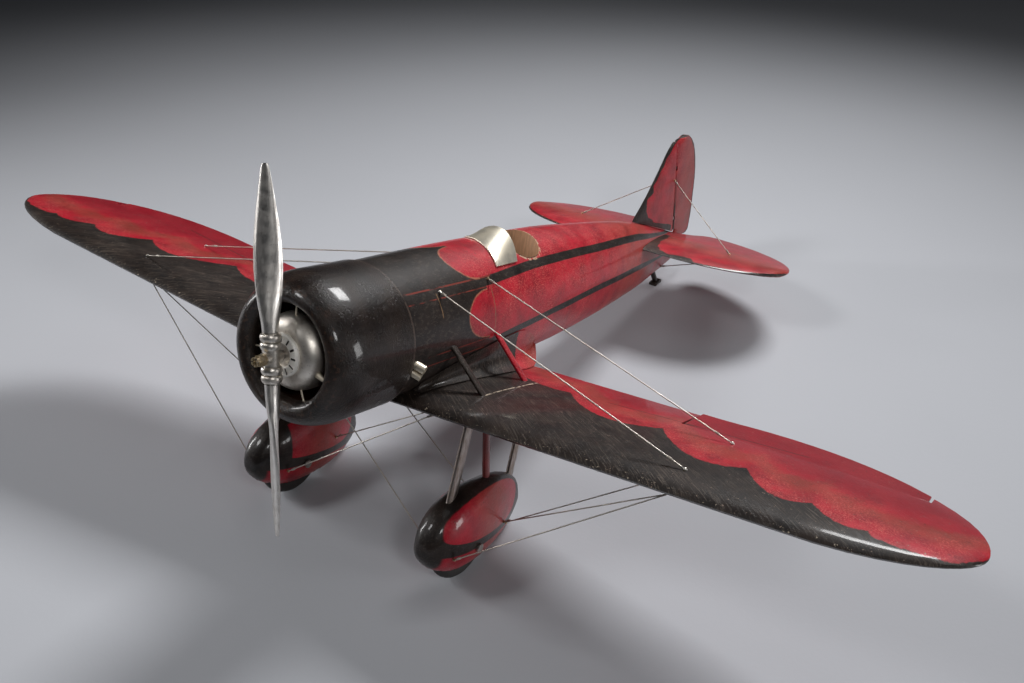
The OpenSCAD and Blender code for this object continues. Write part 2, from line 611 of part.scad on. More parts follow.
function aileron_ring(x) = let (
    u = (x - axis_1[0]) / (axis_2[0] - axis_1[0]), h = axis_1 + u * (axis_2 - axis_1), r = nose_1 + u * (nose_2 - nose_1),
    c = te(x) - h[1], z = plane(x) + camber * half_edge + aileron_rest * c / aileron_c1)
    [[x, te(x), z + half_edge], [x, te(x), z - half_edge],
     for (i = [8:-1:0]) let (a = 72 + 27 * i) [x, h[1] + r * cos(a), h[2] + r * sin(a)]];
end_gap = 1.2;
module aileron() {
    difference() {
        loft([for (i = [0:12]) aileron_ring(aileron_in + end_gap + (aileron_l - 2 * end_gap) * i / 12)]);
        aileron_rod(pin_r + run_fit, 1);
    }
}
module aileron_left() {
    color(RED) stance() aileron();
}
module aileron_right() {
    color(RED) stance() mirror([1, 0, 0]) aileron();
}
module aileron_pin_left() {
    color(STEEL) stance() aileron_rod(pin_r, pin_hold);
}
module aileron_pin_right() {
    color(STEEL) stance() mirror([1, 0, 0]) aileron_rod(pin_r, pin_hold);
}

// STRUTS AND LANDING GEAR
module root_strut(y) {
    bar(strut_top(y), strut_foot(y, track - 1), 4, 1.8);
}
module root_strut_front_left() {
    color(BLACK) stance() root_strut(root_front_y);
}
module root_strut_rear_left() {
    color(RED) stance() root_strut(root_rear_y);
}
module root_strut_front_right() {
    color(BLACK) stance() mirror([1, 0, 0]) root_strut(root_front_y);
}
module root_strut_rear_right() {
    color(RED) stance() mirror([1, 0, 0]) root_strut(root_rear_y);
}

module leg_bar(leg) {
    bar(leg_foot(leg[1]), leg_top(leg[0]), leg[2], leg[3]);
}
module leg_front_left() {
    color(SILVER) stance() leg_bar(leg_front);
}
module leg_middle_left() {
    color(RED) stance() leg_bar(leg_middle);
}
module leg_rear_left() {
    color(BLACK) stance() leg_bar(leg_rear);
}
module leg_front_right() {
    color(SILVER) stance() mirror([1, 0, 0]) leg_bar(leg_front);
}
module leg_middle_right() {
    color(RED) stance() mirror([1, 0, 0]) leg_bar(leg_middle);
}
module leg_rear_right() {
    color(BLACK) stance() mirror([1, 0, 0]) leg_bar(leg_rear);
}

well_w = wheel_w + 2.2;
module spat(side) {
    difference() {
        loft([for (y = spat_at) spat_ring(y)]);
        translate([track - well_w / 2, axle_y, -axle_drop]) rotate([0, 90, 0]) cylinder(h = well_w, r = wheel_r + 1.5, $fn = 72);
        translate([track - 30, axle_y, -axle_drop]) rotate([0, 90, 0]) cylinder(h = 60, r = axle_r);
        anchor_holes([spat_front, spat_rear, inner_front(side), inner_rear(side)]);
        leg_bar(leg_front);
        leg_bar(leg_middle);
        leg_bar(leg_rear);
    }
}
module spat_left() {
    color(RED) stance() spat(1);
}
module spat_right() {
    color(RED) stance() mirror([1, 0, 0]) spat(-1);
}

module axle() {
    out = spat_side(axle_y, -axle_drop) + 0.9;
    translate([track, axle_y, -axle_drop]) rotate([0, 90, 0]) {
        translate([0, 0, -out]) cylinder(h = 2 * out, r = axle_r);
        for (s = [-1, 1]) translate([0, 0, s * out - 0.4]) cylinder(h = 0.8, r = axle_r + 0.5);
    }
}
module axle_left() {
    color(STEEL) stance() axle();
}
module axle_right() {
    color(STEEL) stance() mirror([1, 0, 0]) axle();
}

rim_r = wheel_r - 6.5;
module at_wheel() {
    translate([track, axle_y, -axle_drop]) rotate([0, 90, 0]) children();
}
module wheel() {
    at_wheel() rotate_extrude($fn = 72) polygon([[axle_r + run_fit, -wheel_w / 2 - 0.6], [3.4, -wheel_w / 2 - 0.6], [3.4, -1.6],
        [rim_r - 1.6, -1.6], [rim_r - 1.6, -wheel_w / 2 + 1.2], [rim_r, -wheel_w / 2 + 1.2], [rim_r, wheel_w / 2 - 1.2],
        [rim_r - 1.6, wheel_w / 2 - 1.2], [rim_r - 1.6, 1.6], [3.4, 1.6], [3.4, wheel_w / 2 + 0.6], [axle_r + run_fit, wheel_w / 2 + 0.6]]);
}
module tyre() {
    h = wheel_w / 2;
    at_wheel() rotate_extrude($fn = 96) polygon([[rim_r, -h + 1], [rim_r + 1.2, -h + 0.3],
        each [for (a = [-80:20:80]) [wheel_r - h * 0.85 + h * 0.85 * cos(a), h * sin(a)]], [rim_r + 1.2, h - 0.3], [rim_r, h - 1]]);
}
module wheel_left() {
    color(STEEL) stance() wheel();
}
module wheel_right() {
    color(STEEL) stance() mirror([1, 0, 0]) wheel();
}
module tyre_left() {
    color(RUBBER) stance() tyre();
}
module tyre_right() {
    color(RUBBER) stance() mirror([1, 0, 0]) tyre();
}

// TAIL
function tail_half_t(y, x) = let (s = clamp((y - tail_le(x)) / (tail_te(x) - tail_le(x)), 0, 1))
    min(tail_t / 2, (tail_te(x) - tail_le(x)) * 0.08) * section(s) + half_edge * s;
function root_x(y, z) = y > body_l ? glue_gap : max(side_x(y, z), tail_t / 2) + 2 * glue_gap;
function tail_ring(x) = [for (i = [10:-1:-10]) let (s = pow(sin(9 * abs(i)), 2), y = tail_le(x) + s * (tail_te(x) - tail_le(x)),
    z = tail_z - sign(i) * tail_half_t(y, x)) [x == 0 ? root_x(y, z) : x, y, z]];
tail_x = [0, 13.6, 15, 18, 22, for (i = [3:15]) tail_half * min(sin(6 * i), 0.9992)];
module tailplane() {
    difference() {
        loft([for (x = tail_x) tail_ring(x)]);
        anchor_holes([stab_upper, stab_lower]);
    }
}
module tailplane_left() {
    color(RED) stance() tailplane();
}
module tailplane_right() {
    color(RED) stance() mirror([1, 0, 0]) tailplane();
}

function fin_half_t(y, z) = let (s = clamp((y - fin_le(z)) / (rudder_te(z) - fin_le(z)), 0, 1))
    tail_t / 2 * section(s) + half_edge * s;
lug_r = 1.2;
fin_root_z = body_top(fin_foot_y + 3);
function fin_ring(v) = let (
    z1 = fin_root_z + (fin_tip - fin_root_z) * v, z2 = hinge_foot[2] - 2 + (fin_tip - hinge_foot[2] + 2) * v,
    y1 = fin_le(z1), y2 = hinge_y(z2) - fin_half_t(hinge_y(z2), z2) - swing_gap - 0.1)
    [for (i = [8:-1:-8]) let (f = pow(abs(i) / 8, 1.6), y = y1 + (y2 - y1) * f, z = v == 0 ? body_top(y) + 2 * glue_gap : z1 + (z2 - z1) * f)
        [sign(i) * fin_half_t(y, max(z, fin_z0)), y, z]];
module fin() {
    color(RED) stance() difference() {
        loft([for (v = [0, 0.06, 0.2, 0.35, 0.5, 0.65, 0.8, 0.9, 0.97, 1]) fin_ring(v)]);
        for (t = lug_at) lug_plate(t);
        rod([-9, fin_anchor[0][1], fin_anchor[0][2]], [9, fin_anchor[0][1], fin_anchor[0][2]], anchor_r + seat_fit);
    }
}

rudder_foot = hinge_foot[2];
// Behind the stern the rudder reaches down into the tailplane's cut-out
heel_z = tail_z - 3;
function rudder_ring(z) = let (yh = hinge_y(z), free = z > rudder_foot && fin_le(z) > yh - 1.2, low = z < rudder_foot,
    y1 = free ? fin_le(z) : low ? body_l + 1.4 : yh,
    r = free ? 0.3 : low ? 1 : fin_half_t(yh, z), y2 = rudder_te(z))
    [for (i = [0:6]) let (a = 90 + 30 * i) [r * sin(a), y1 + r * cos(a), z],
     for (i = [1:4]) let (y = y1 + (y2 - y1) * i / 4) [-fin_half_t(y, z), y, z],
     for (i = [4:-1:1]) let (y = y1 + (y2 - y1) * i / 4) [fin_half_t(y, z), y, z]];
rudder_z = [heel_z, heel_z + 0.5, heel_z + 2.5, rudder_foot - 0.1, rudder_foot, for (i = [1:11]) rudder_foot + (fin_top - 0.4 - rudder_foot) * sin(90 * i / 11)];
lug_at = [0.14, 0.72];
function hinge_point(t) = hinge_foot + t * (fin_tip - hinge_foot[2]) / cos(rudder_lean) * rudder_dir;
module at_lug(t) {
    translate(hinge_point(t)) rotate([rudder_lean, 0, 0]) children();
}
module lug_plate(t) {
    at_lug(t) translate([-0.5, -6.4, -0.8]) cube([1, 6, 1.6]);
}
module rudder_rod(r, t1, t2) {
    rod(hinge_point(t1), hinge_point(t2), r);
}
module rudder() {
    color(RED) stance() difference() {
        loft([for (z = rudder_z) rudder_ring(z)]);
        for (t = lug_at) at_lug(t) {
            translate([0, 0, -1.5]) cylinder(h = 3, r = lug_r + swing_gap + 0.3, $fn = 32);
            translate([-5, -9, -1.5]) cube([10, 9, 3]);
        }
        rudder_rod(pin_r + run_fit, -0.05, 0.95);
    }
}
module rudder_hinges() {
    color(STEEL) stance() for (t = lug_at) difference() {
        union() {
            lug_plate(t);
            at_lug(t) translate([0, 0, -1.1]) cylinder(h = 2.2, r = lug_r, $fn = 32);
        }
        rudder_rod(pin_r, -0.05, 0.95);
    }
}
module rudder_pin() {
    color(STEEL) stance() rudder_rod(pin_r, 0.02, 0.9);
}

module skid_stalk() {
    rod([0, skid_foot[1] - 12, -body_low(skid_foot[1] - 12) + 3], skid_foot + [0, -1, 1.6], 1.7);
}
module tail_skid() {
    color(BLACK) stance() {
        difference() {
            skid_stalk();
            translate(skid_foot) rotate([stance_a, 0, 0]) translate([-5, -10, -10]) cube([10, 20, 10]);
        }
        translate(skid_foot) rotate([stance_a, 0, 0]) translate([-2.5, -4.5, 0]) cube([5, 8, 1.8]);
    }
}

// BRACING
function inner_front(side) = on_spat(axle_y - 12 + side * 0.6, -84, -1);
function inner_rear(side) = on_spat(axle_y + 24 + side * 0.6, -78, -1);
function root_front(side) = below_wing(36, axle_y - 11 - side * 0.6);
function root_rear(side) = below_wing(36, axle_y + 25 - side * 0.6);
function flip(a) = [[-a[0][0], a[0][1], a[0][2]], [-a[1][0], a[1][1], a[1][2]]];

module anchors(side) {
    for (a = [under_front, spat_rear]) anchor_pin(a, second);
    for (a = [nose_anchor, cabin_anchor, wing_front, wing_rear, under_rear, spat_front,
        inner_front(side), inner_rear(side), root_front(side), root_rear(side), stab_upper, stab_lower, stern_anchor])
        anchor_pin(a);
}
module anchors_left() {
    color(STEEL) stance() {
        anchors(1);
        rod([-tail_t / 2 - 1.2, fin_anchor[0][1], fin_anchor[0][2]], [tail_t / 2 + 1.2, fin_anchor[0][1], fin_anchor[0][2]], anchor_r);
    }
}
module anchors_right() {
    color(STEEL) stance() mirror([1, 0, 0]) anchors(-1);
}

module upper_wires() {
    wire(nose_anchor, wing_front);
    wire(cabin_anchor, wing_rear);
}
module upper_wires_left() {
    color(STEEL) stance() upper_wires();
}
module upper_wires_right() {
    color(STEEL) stance() mirror([1, 0, 0]) upper_wires();
}
module lower_wires() {
    wire(spat_front, under_front);
    wire(spat_rear, under_front, 0, second);
    wire(spat_rear, under_rear, second, 0);
}
module lower_wires_left() {
    color(STEEL) stance() lower_wires();
}
module lower_wires_right() {
    color(STEEL) stance() mirror([1, 0, 0]) lower_wires();
}
module cross_wires() {
    color(STEEL) stance() {
        wire(inner_front(1), flip(root_front(-1)));
        wire(inner_rear(1), flip(root_rear(-1)));
        wire(flip(inner_front(-1)), root_front(1));
        wire(flip(inner_rear(-1)), root_rear(1));
    }
}
module tail_wires() {
    color(STEEL) stance() for (side = [1, -1]) mirrored(side) {
        wire(fin_anchor, stab_upper);
        wire(stern_anchor, stab_lower);
    }
}

cowl_shell();
firewall();
gear_case();
boss_ring();
dome_pins();
prop_shaft();
prop_hub();
blade_upper();
blade_lower();
clamp_rings();
hub_nut();
fuselage();
windshield();
exhaust_left();
exhaust_right();
wing_left();
wing_right();
fillet_left();
fillet_right();
aileron_left();
aileron_right();
aileron_pin_left();
aileron_pin_right();
root_strut_front_left();
root_strut_rear_left();
root_strut_front_right();
root_strut_rear_right();
leg_front_left();
leg_middle_left();
leg_rear_left();
leg_front_right();
leg_middle_right();
leg_rear_right();
spat_left();
spat_right();
axle_left();
axle_right();
wheel_left();
wheel_right();
tyre_left();
tyre_right();
tailplane_left();
tailplane_right();
fin();
rudder();
rudder_hinges();
rudder_pin();
tail_skid();
anchors_left();
anchors_right();
upper_wires_left();
upper_wires_right();
lower_wires_left();
lower_wires_right();
cross_wires();
tail_wires();
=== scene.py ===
# %% [markdown]
# This lesson paints and lights a wooden model of a racing aeroplane. Its shape comes from CAD, already
# packed as separate parts that turn on real joints. We load those parts as a fixed frame, and then give
# each one the finish that the old model has: crimson and black lacquer, bright metal, wire, bare wood.
# Nothing is moved or resized.

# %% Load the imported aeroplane
import json
import math
import bpy
import bmesh
from mathutils import Matrix, Vector


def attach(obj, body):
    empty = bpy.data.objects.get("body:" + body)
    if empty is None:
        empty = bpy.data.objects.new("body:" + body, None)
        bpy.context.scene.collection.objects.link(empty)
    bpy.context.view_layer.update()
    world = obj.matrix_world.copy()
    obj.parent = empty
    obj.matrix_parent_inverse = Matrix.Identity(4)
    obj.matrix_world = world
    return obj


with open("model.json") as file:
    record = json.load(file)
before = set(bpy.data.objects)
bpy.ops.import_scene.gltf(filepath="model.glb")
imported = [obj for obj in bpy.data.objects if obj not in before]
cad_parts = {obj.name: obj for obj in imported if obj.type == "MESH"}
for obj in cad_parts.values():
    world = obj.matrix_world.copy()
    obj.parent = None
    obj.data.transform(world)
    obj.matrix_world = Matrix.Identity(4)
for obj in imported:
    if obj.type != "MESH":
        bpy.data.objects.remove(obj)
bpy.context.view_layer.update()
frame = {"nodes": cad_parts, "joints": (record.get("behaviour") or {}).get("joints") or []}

parts = frame["nodes"]

# %% [markdown]
# The model stands on its wheels and tail skid with its nose up, but paint lines, stripes and seams were
# laid out on a level aeroplane. So we work out the level layout once: millimetres from the propeller hub,
# X to the model's own left, Y towards the tail, Z up. The propeller joint in the record gives both the
# hub and the slope of the nose.

# %% The level layout
spin = next(joint for joint in frame["joints"] if joint["name"] == "propeller_spin")
hub = Vector(spin["pos_m"])
spin_axis = Vector(spin["axis"])
nose_up = math.atan2(-spin_axis.z, spin_axis.y)
mm = 0.001
stand = Matrix.Translation(hub) @ Matrix.Rotation(-nose_up, 4, "X")


def place(x, y, z):
    """The spot in the standing frame, in metres, of a level spot in millimetres from the hub."""
    return stand @ Vector((x * mm, y * mm, z * mm))


print("nose up by", round(math.degrees(nose_up), 2), "degrees, hub at", [round(v, 4) for v in hub])

# %% [markdown]
# The camera is set by the angles at which the photograph sees the level model: turned to its left front,
# looking down, and tilted a little so that the wings run corner to corner. A camera looks along its own
# -Z with +Y up, so three directions make its rotation: right, up, and back towards the eye.

# %% The camera


def direction(turn, lift):
    """The way to a spot turn radians round from the nose towards the model's left, and lift above it."""
    return Vector((math.sin(turn) * math.cos(lift), -math.cos(turn) * math.cos(lift), math.sin(lift)))


eye_turn, eye_down, eye_roll = math.radians(29.93), math.radians(18.58), math.radians(9.62)
eye_distance = 471.7
look_at = Vector((33.67, 120.0, -6.8))
back = direction(eye_turn, eye_down)
level_right = Vector((math.cos(eye_turn), math.sin(eye_turn), 0))
level_up = back.cross(level_right)
right = math.cos(eye_roll) * level_right + math.sin(eye_roll) * level_up
up = math.cos(eye_roll) * level_up - math.sin(eye_roll) * level_right

lens = bpy.data.cameras.new("camera")
lens.sensor_width = 36.0
lens.sensor_fit = "HORIZONTAL"
lens.lens = 35.83
lens.clip_start = 0.01
lens.clip_end = 20.0
camera = bpy.data.objects.new("camera", lens)
turned_camera = Matrix((right, up, back)).transposed().to_4x4()
eye = place(*(look_at + back * eye_distance))
camera.matrix_world = Matrix.Translation(eye) @ (stand.to_3x3().to_4x4() @ turned_camera)
bpy.context.scene.collection.objects.link(camera)
bpy.context.scene.camera = camera
print("camera at", [round(v, 3) for v in camera.matrix_world.translation])

# %% [markdown]
# A node tree soon gets hard to read, so we write shader maths as Python. `Field` wraps one socket: adding
# or multiplying two fields adds a Math node. `Finish` owns one material and makes every other node
# through a single method, which takes the node's type, its settings and what goes into its sockets.

# %% A field


class Field:
    """One socket: a number, colour or direction that changes over a surface."""

    def __init__(self, finish, socket):
        self.finish, self.socket = finish, socket

    def maths(self, operation, *values):
        return self.finish.node("ShaderNodeMath", {"operation": operation}, dict(enumerate(values)))

    def __add__(self, other):
        return self.maths("ADD", self, other)

    def __sub__(self, other):
        return self.maths("SUBTRACT", self, other)

    def __rsub__(self, other):
        return self.maths("SUBTRACT", other, self)

    def __mul__(self, other):
        return self.maths("MULTIPLY", self, other)

    def __truediv__(self, other):
        return self.maths("DIVIDE", self, other)

    def __pow__(self, other):
        return self.maths("POWER", self, other)

    def __abs__(self):
        return self.maths("ABSOLUTE", self)

    __radd__, __rmul__ = __add__, __mul__


print("a field adds, subtracts, multiplies, divides and takes powers")

# %% [markdown]
# A finish could be built by hand in the shader editor, but then each of the two dozen here would have to
# be drawn again. Numbers that are the same all over, such as the weight of the clear coat, are set on the
# shader's own sockets when the finish is made. Only what changes over a surface is linked, and `feed`
# does that at the end.

# %% A finish


class Finish:
    """One material, with its nodes and the level layout of the aeroplane."""

    def __init__(self, name, **constants):
        self.material = bpy.data.materials.new(name)
        self.material.use_nodes = True
        self.tree = self.material.node_tree
        self.shader = self.tree.nodes["Principled BSDF"]
        for socket, value in constants.items():
            self.shader.inputs[socket.replace("_", " ")].default_value = value
        self.spot = self.layout()
        axes = [self.node("ShaderNodeSeparateXYZ", {}, {0: self.spot}, axis) for axis in range(3)]
        self.x, self.y, self.z = axes

    def node(self, kind, settings=None, inputs=None, output=0):
        made = self.tree.nodes.new(kind)
        for name, value in (settings or {}).items():
            if name == "stops":
                ramp = made.color_ramp
                while len(ramp.elements) < len(value):
                    ramp.elements.new(0.5)
                for stop, (at, colour) in zip(ramp.elements, value):
                    stop.position, stop.color = at, (*colour, 1)
            elif name == "ramp_curve":
                made.color_ramp.interpolation = value
            else:
                setattr(made, name, value)
        for socket, value in (inputs or {}).items():
            if isinstance(value, Field):
                self.tree.links.new(value.socket, made.inputs[socket])
            else:
                made.inputs[socket].default_value = value
        return Field(self, made.outputs[output])

    def layout(self):
        """Level millimetres: the object coordinates turned, scaled and moved by one Mapping node."""
        turn = Matrix.Rotation(nose_up, 3, "X")
        object_spot = self.node("ShaderNodeTexCoord", output="Object")
        return self.node("ShaderNodeMapping", {"vector_type": "POINT"}, {
            "Vector": object_spot, "Location": -(turn @ hub) / mm,
            "Rotation": (nose_up, 0, 0), "Scale": (1 / mm,) * 3})

    def feed(self, **fields):
        for socket, field in fields.items():
            self.tree.links.new(field.socket, self.shader.inputs[socket.replace("_", " ")])


print("a finish knows the level layout, with one unit for each millimetre")

# %% [markdown]
# Most paint edges here are masks: 0 on one side of a line, 1 on the other, with a short smooth step
# between. They could be painted as images, but then they would blur close up and stretch over curved
# wood. A Map Range node makes the same step anywhere, and the larger of two masks joins them.

# %% Masks


def past(value, edge, blur=0.3):
    """1 where value is greater than edge, 0 where it is less, with a smooth step that is blur wide."""
    return value.finish.node("ShaderNodeMapRange", {"interpolation_type": "SMOOTHSTEP"}, {
        "Value": value, "From Min": edge - blur / 2, "From Max": edge + blur / 2})


def between(value, low, high, blur=0.3):
    return past(value, low, blur) * (1 - past(value, high, blur))


def either(*masks):
    joined = masks[0]
    for mask in masks[1:]:
        joined = joined.maths("MAXIMUM", joined, mask)
    return joined


print("masks ready")

# %% [markdown]
# Grain, speckle and scratches run along the way the brush or the wood ran. An image of scratches would
# repeat and smear on round wood, and noise in three dimensions does neither: it is only stretched along
# one axis. Brush strokes that cross a wing slantwise use the same noise after the layout is turned about
# the vertical, and the left wing mirrors the right one.

# %% Noise


def turned(finish, angle):
    """The layout turned about the vertical by an angle in degrees, mirrored from side to side."""
    mirrored_spot = finish.node("ShaderNodeCombineXYZ", {}, {0: abs(finish.x), 1: finish.y, 2: finish.z})
    return finish.node("ShaderNodeVectorRotate", {"rotation_type": "Z_AXIS"}, {
        "Vector": mirrored_spot, "Angle": math.radians(angle)})


def grain(finish, size, stretch=(1, 1, 1), detail=3.0, rough=0.55, spot=None):
    """Noise whose blobs are about size millimetres wide, and stretch times longer along each axis."""
    spread = finish.node("ShaderNodeVectorMath", {"operation": "MULTIPLY"}, {
        0: spot or finish.spot, 1: tuple(1 / (size * s) for s in stretch)})
    return finish.node("ShaderNodeTexNoise", {}, {
        "Vector": spread, "Scale": 1.0, "Detail": detail, "Roughness": rough})


print("noise ready")

# %% [markdown]
# Four small helpers do the rest: one colour laid over another, the distance out in an oval, a bump whose
# height is given in millimetres, and a smooth line through a few points measured on the model.

# %% Colours, ovals, relief and lines


def blend(mask, below, above):
    """One colour over another. Either may be a field or three plain numbers."""
    below, above = (c if isinstance(c, Field) else (*c, 1) for c in (below, above))
    return mask.finish.node("ShaderNodeMix", {"data_type": "RGBA"}, {0: mask, 6: below, 7: above}, 2)


def rounded(across, along, power=2.0):
    """How far out a spot lies from an oval's middle: 1 on its edge. A higher power makes the oval squarer."""
    return (abs(across) ** power + abs(along) ** power) ** (1 / power)


def relief(finish, height, depth, under=None):
    """A Bump node: height from 0 to 1 stands for depth millimetres. It can lie over another relief."""
    inputs = {"Strength": 1.0, "Distance": depth * mm, "Height": height}
    if under:
        inputs["Normal"] = under
    return finish.node("ShaderNodeBump", {}, inputs)


def through(finish, along, stops, curve="CARDINAL"):
    """A smooth line through (place, height) stops, which are scaled to the 0 to 1 of a ramp."""
    first, last = stops[0][0], stops[-1][0]
    heights = [height for at, height in stops]
    low, span = min(heights) - 5, max(heights) - min(heights) + 10
    ramp = [((at - first) / (last - first), ((height - low) / span,) * 3) for at, height in stops]
    share = (along - first) / (last - first)
    value = finish.node("ShaderNodeValToRGB", {"ramp_curve": curve, "stops": ramp}, {0: share})
    return value * span + low


print("helpers ready")

# %% [markdown]
# The lacquer is hand-laid cellulose paint on carved wood. The black is a warm brown-black, brushed on in
# short slanting strokes that crossed each other and dried pale at their ridges. The crimson was stippled, and
# its pale pink grain is partly that stipple and partly painted highlight: the glints that a grazing light
# draws from the rough paint. It has sunk and browned with age. The colours are linear, as the shader takes
# them, and the sizes of clouds, strokes and stipple are in millimetres.

# %% Black and crimson
black_deep, black_warm = (0.007, 0.0045, 0.004), (0.021, 0.0135, 0.0105)
stroke_pale = (0.13, 0.10, 0.078)
crimson, crimson_dark, crimson_pale_glint = (0.44, 0.004, 0.020), (0.21, 0.003, 0.011), (0.56, 0.10, 0.085)
brown_film = (0.20, 0.055, 0.028)
bare_pale = (0.52, 0.43, 0.33)
cloud_size, worn_size, stroke_width, stipple_size = 10.0, 18.0, 0.45, 0.55
stroke_relief = 0.045
print("black is", black_warm, "and crimson", crimson)

# %% [markdown]
# Each wooden part could have a material built for it alone, but the same paint lies on all of them. So
# one function lays it: black below, red over it where a mask says so, marks of wear on top, and a thin
# clear coat over everything. Each part gives its mask of red, the way its brush ran, and its marks.

# %% The lacquer


def lacquer(name, red_where, strokes, slant=0, marks=(), depth_of_red=None, wrinkles=None,
            gloss=0.38, grit=1.0, stroke_share=0.5):
    """red_where(finish) is the mask of red. Each mark is a mask function and the colour laid over it."""
    finish = Finish(name, Coat_Weight=0.33, Coat_Roughness=0.10, Specular_IOR_Level=0.25)
    red = red_where(finish)
    cloud = grain(finish, cloud_size, detail=4.0)
    fine = grain(finish, stipple_size, detail=2.0)
    worn = past(grain(finish, worn_size, detail=3.0), 0.5, 0.3)
    ridges = past(grain(finish, stroke_width, strokes, 5.0, 0.7, turned(finish, slant)), 0.57, 0.13)
    crossed = past(grain(finish, stroke_width, strokes, 4.0, 0.7, turned(finish, slant + 55)), 0.63, 0.12)
    brushed = either(ridges, crossed * 0.6)
    black = blend(past(cloud, 0.5, 0.4), black_deep, black_warm)
    black = blend(brushed * (0.25 + 0.75 * worn) * stroke_share, black, stroke_pale)
    rich = blend(past(cloud, 0.5, 0.5), crimson_dark, crimson)
    # Pale pink speckle: the stippled grain, lightened as painted highlight, the glints of light on rough
    # paint.
    stipple_and_glints = past(fine, 0.56, 0.14) * (0.18 + 0.5 * worn) * grit
    if depth_of_red:
        depth = depth_of_red(finish)
        rich = blend(past(depth + cloud * 20, 38, 24) * 0.75, rich, crimson_dark)
        rich = blend(between(depth + cloud * 16, 18, 30, 9) * 0.45, rich, brown_film)
        stipple_and_glints = stipple_and_glints * (1.25 - past(depth, 20, 24))
    rich = blend(stipple_and_glints, rich, crimson_pale_glint)
    rich = blend(past(grain(finish, 1.1, detail=4.0), 0.66, 0.05) * 0.55, rich, black_warm)
    colour = blend(red, black, rich)
    for mask, paint in marks:
        colour = blend(mask(finish), colour, paint)
    rough = gloss + 0.16 * fine + 0.12 * worn - 0.06 * brushed
    normal = relief(finish, fine * 0.4 + brushed * 0.6, stroke_relief)
    if wrinkles:
        size, depth = wrinkles
        small = past(grain(finish, size, detail=3.0, rough=0.6), 0.5, 0.45)
        normal = relief(finish, small * 0.6 + grain(finish, size * 3.5) * 0.4, depth, normal)
    finish.feed(Base_Color=colour, Roughness=rough, Normal=normal)
    return finish.material


print("lacquer ready")

# %% [markdown]
# The wings carry the flying scallops of a racer: the front is black, and the red behind it reaches
# forward in rounded tongues. An image laid on from above could hold their edge, but a parabola between
# two cusps gives it from a few numbers and stays sharp. The most forward of all the parabolas is the
# front of the red. Outside the last cusp only a narrow black edge follows the leading edge round the tip,
# so the same outline that the CAD drew is written again.

# %% The scalloped wing
wing_cusps = [(46, 117), (72, 112), (123, 97), (165, 78), (193.5, 64), (214, 56)]
wing_tongues = [3.0, 13.5, 12.5, 8.8, 4.0]
tip_front_line = [(213, 57.2), (216, 54.4), (220, 53.4), (228, 53.3), (236, 55), (243, 58.5), (251, 68)]
half_span, edge_black, tip_line_from, out_of_the_way = 250, 1.6, 213.5, 100
lead_at_root, lead_sweep, lead_at_tip, tip_depth, tip_starts = 57, 0.065, 44, 26, 0.8


def wing_lead(finish):
    """The place of the leading edge: straight with a slight sweep, then an elliptic tip."""
    across = abs(finish.x)
    out = finish.node("ShaderNodeClamp", {}, {0: (across / half_span - tip_starts) / (1 - tip_starts)})
    tip = lead_at_tip + tip_depth * (1 - (1.0001 - out * out) ** 0.5)
    inner = lead_at_root - lead_sweep * across
    outer = past(across, half_span * tip_starts, 0.5)
    return tip * outer + inner * (1 - outer)


def wing_front(finish):
    """The front edge of the red: the most forward of the parabolas, or the line round the tip."""
    across, lead = abs(finish.x), wing_lead(finish)
    tip_front = through(finish, across, tip_front_line)
    tip_front = tip_front.maths("MAXIMUM", tip_front, lead + edge_black)
    front = tip_front + out_of_the_way * (1 - past(across, tip_line_from, 1))
    for (x0, y0), (x1, y1), reach in zip(wing_cusps, wing_cusps[1:], wing_tongues):
        t = (across - x0) / (x1 - x0)
        front = front.maths("MINIMUM", front, y0 + (y1 - y0) * t - 4 * reach * t * (1 - t))
    return front


def behind_front(finish):
    wobble = (grain(finish, 2.5, detail=3.0) - 0.5) * 2.2
    return finish.y + wobble - wing_front(finish)


def wing_red(finish):
    return past(behind_front(finish), 0, 0.9)


print("tongues reach", max(wing_tongues), "mm forward at most")

# %% [markdown]
# Age has marked the wings. Paint has flaked off the leading edge where hands took hold, and a pale crack
# has opened over the joint between the wing and the fillet. A fine line is scribed along the red, and
# lighter flecks lie all over. One image could hold them all, but each is a mask of its own here, so that
# it can be made stronger or left off by itself.

# %% Marks on the wing
crack_from, crack_to, crack_at, crack_lean = 77, 113, 49.5, 0.139
scribe_y, scribe_from, scribe_to = 112.4, 90, 178


def chips(finish, size, rarity):
    """Small flakes where the paint is gone."""
    return past(grain(finish, size, detail=3.0, rough=0.65), rarity, 0.03)


def wing_edge_chips(finish):
    behind = finish.y - wing_lead(finish)
    rare = past(grain(finish, 25.0), 0.52, 0.1)
    return (1 - past(behind, 2.0, 1.5)) * chips(finish, 1.2, 0.66) * rare * 0.7


def root_crack(finish):
    line = crack_at + crack_lean * (finish.y - crack_from) + (grain(finish, 5.0) - 0.5) * 1.2
    gap = abs(abs(finish.x) - line)
    broken = past(grain(finish, 1.6, detail=2.0), 0.47, 0.1)
    return (1 - past(gap, 0.45, 0.4)) * between(finish.y, crack_from, crack_to, 2) * broken


def scribed_line(finish):
    across = abs(finish.x)
    gap = abs(finish.y - scribe_y - 0.02 * (across - scribe_from - 2))
    return (1 - past(gap, 0.3, 0.3)) * between(across, scribe_from, scribe_to, 2)


def flecks(finish):
    return past(grain(finish, 0.9, detail=2.0), 0.71, 0.03) * 0.7


wing_lacquer = lacquer(
    "wing_lacquer", wing_red, strokes=(24, 1, 4), slant=38, depth_of_red=behind_front, stroke_share=0.62,
    marks=[(wing_edge_chips, bare_pale), (root_crack, bare_pale), (scribed_line, (0.05, 0.012, 0.01)),
           (flecks, (0.30, 0.22, 0.17))])
print("the crack is", crack_to - crack_from, "mm long")

# %% [markdown]
# The fuselage is black in front and red behind. Two black stripes run back to the tail along each side,
# and the red starts in rounded scallops between them, outlined by a thin coppery line. Stripes are bands
# about a curved centre line, so each one is a distance from a line whose height changes with the distance
# from the nose.

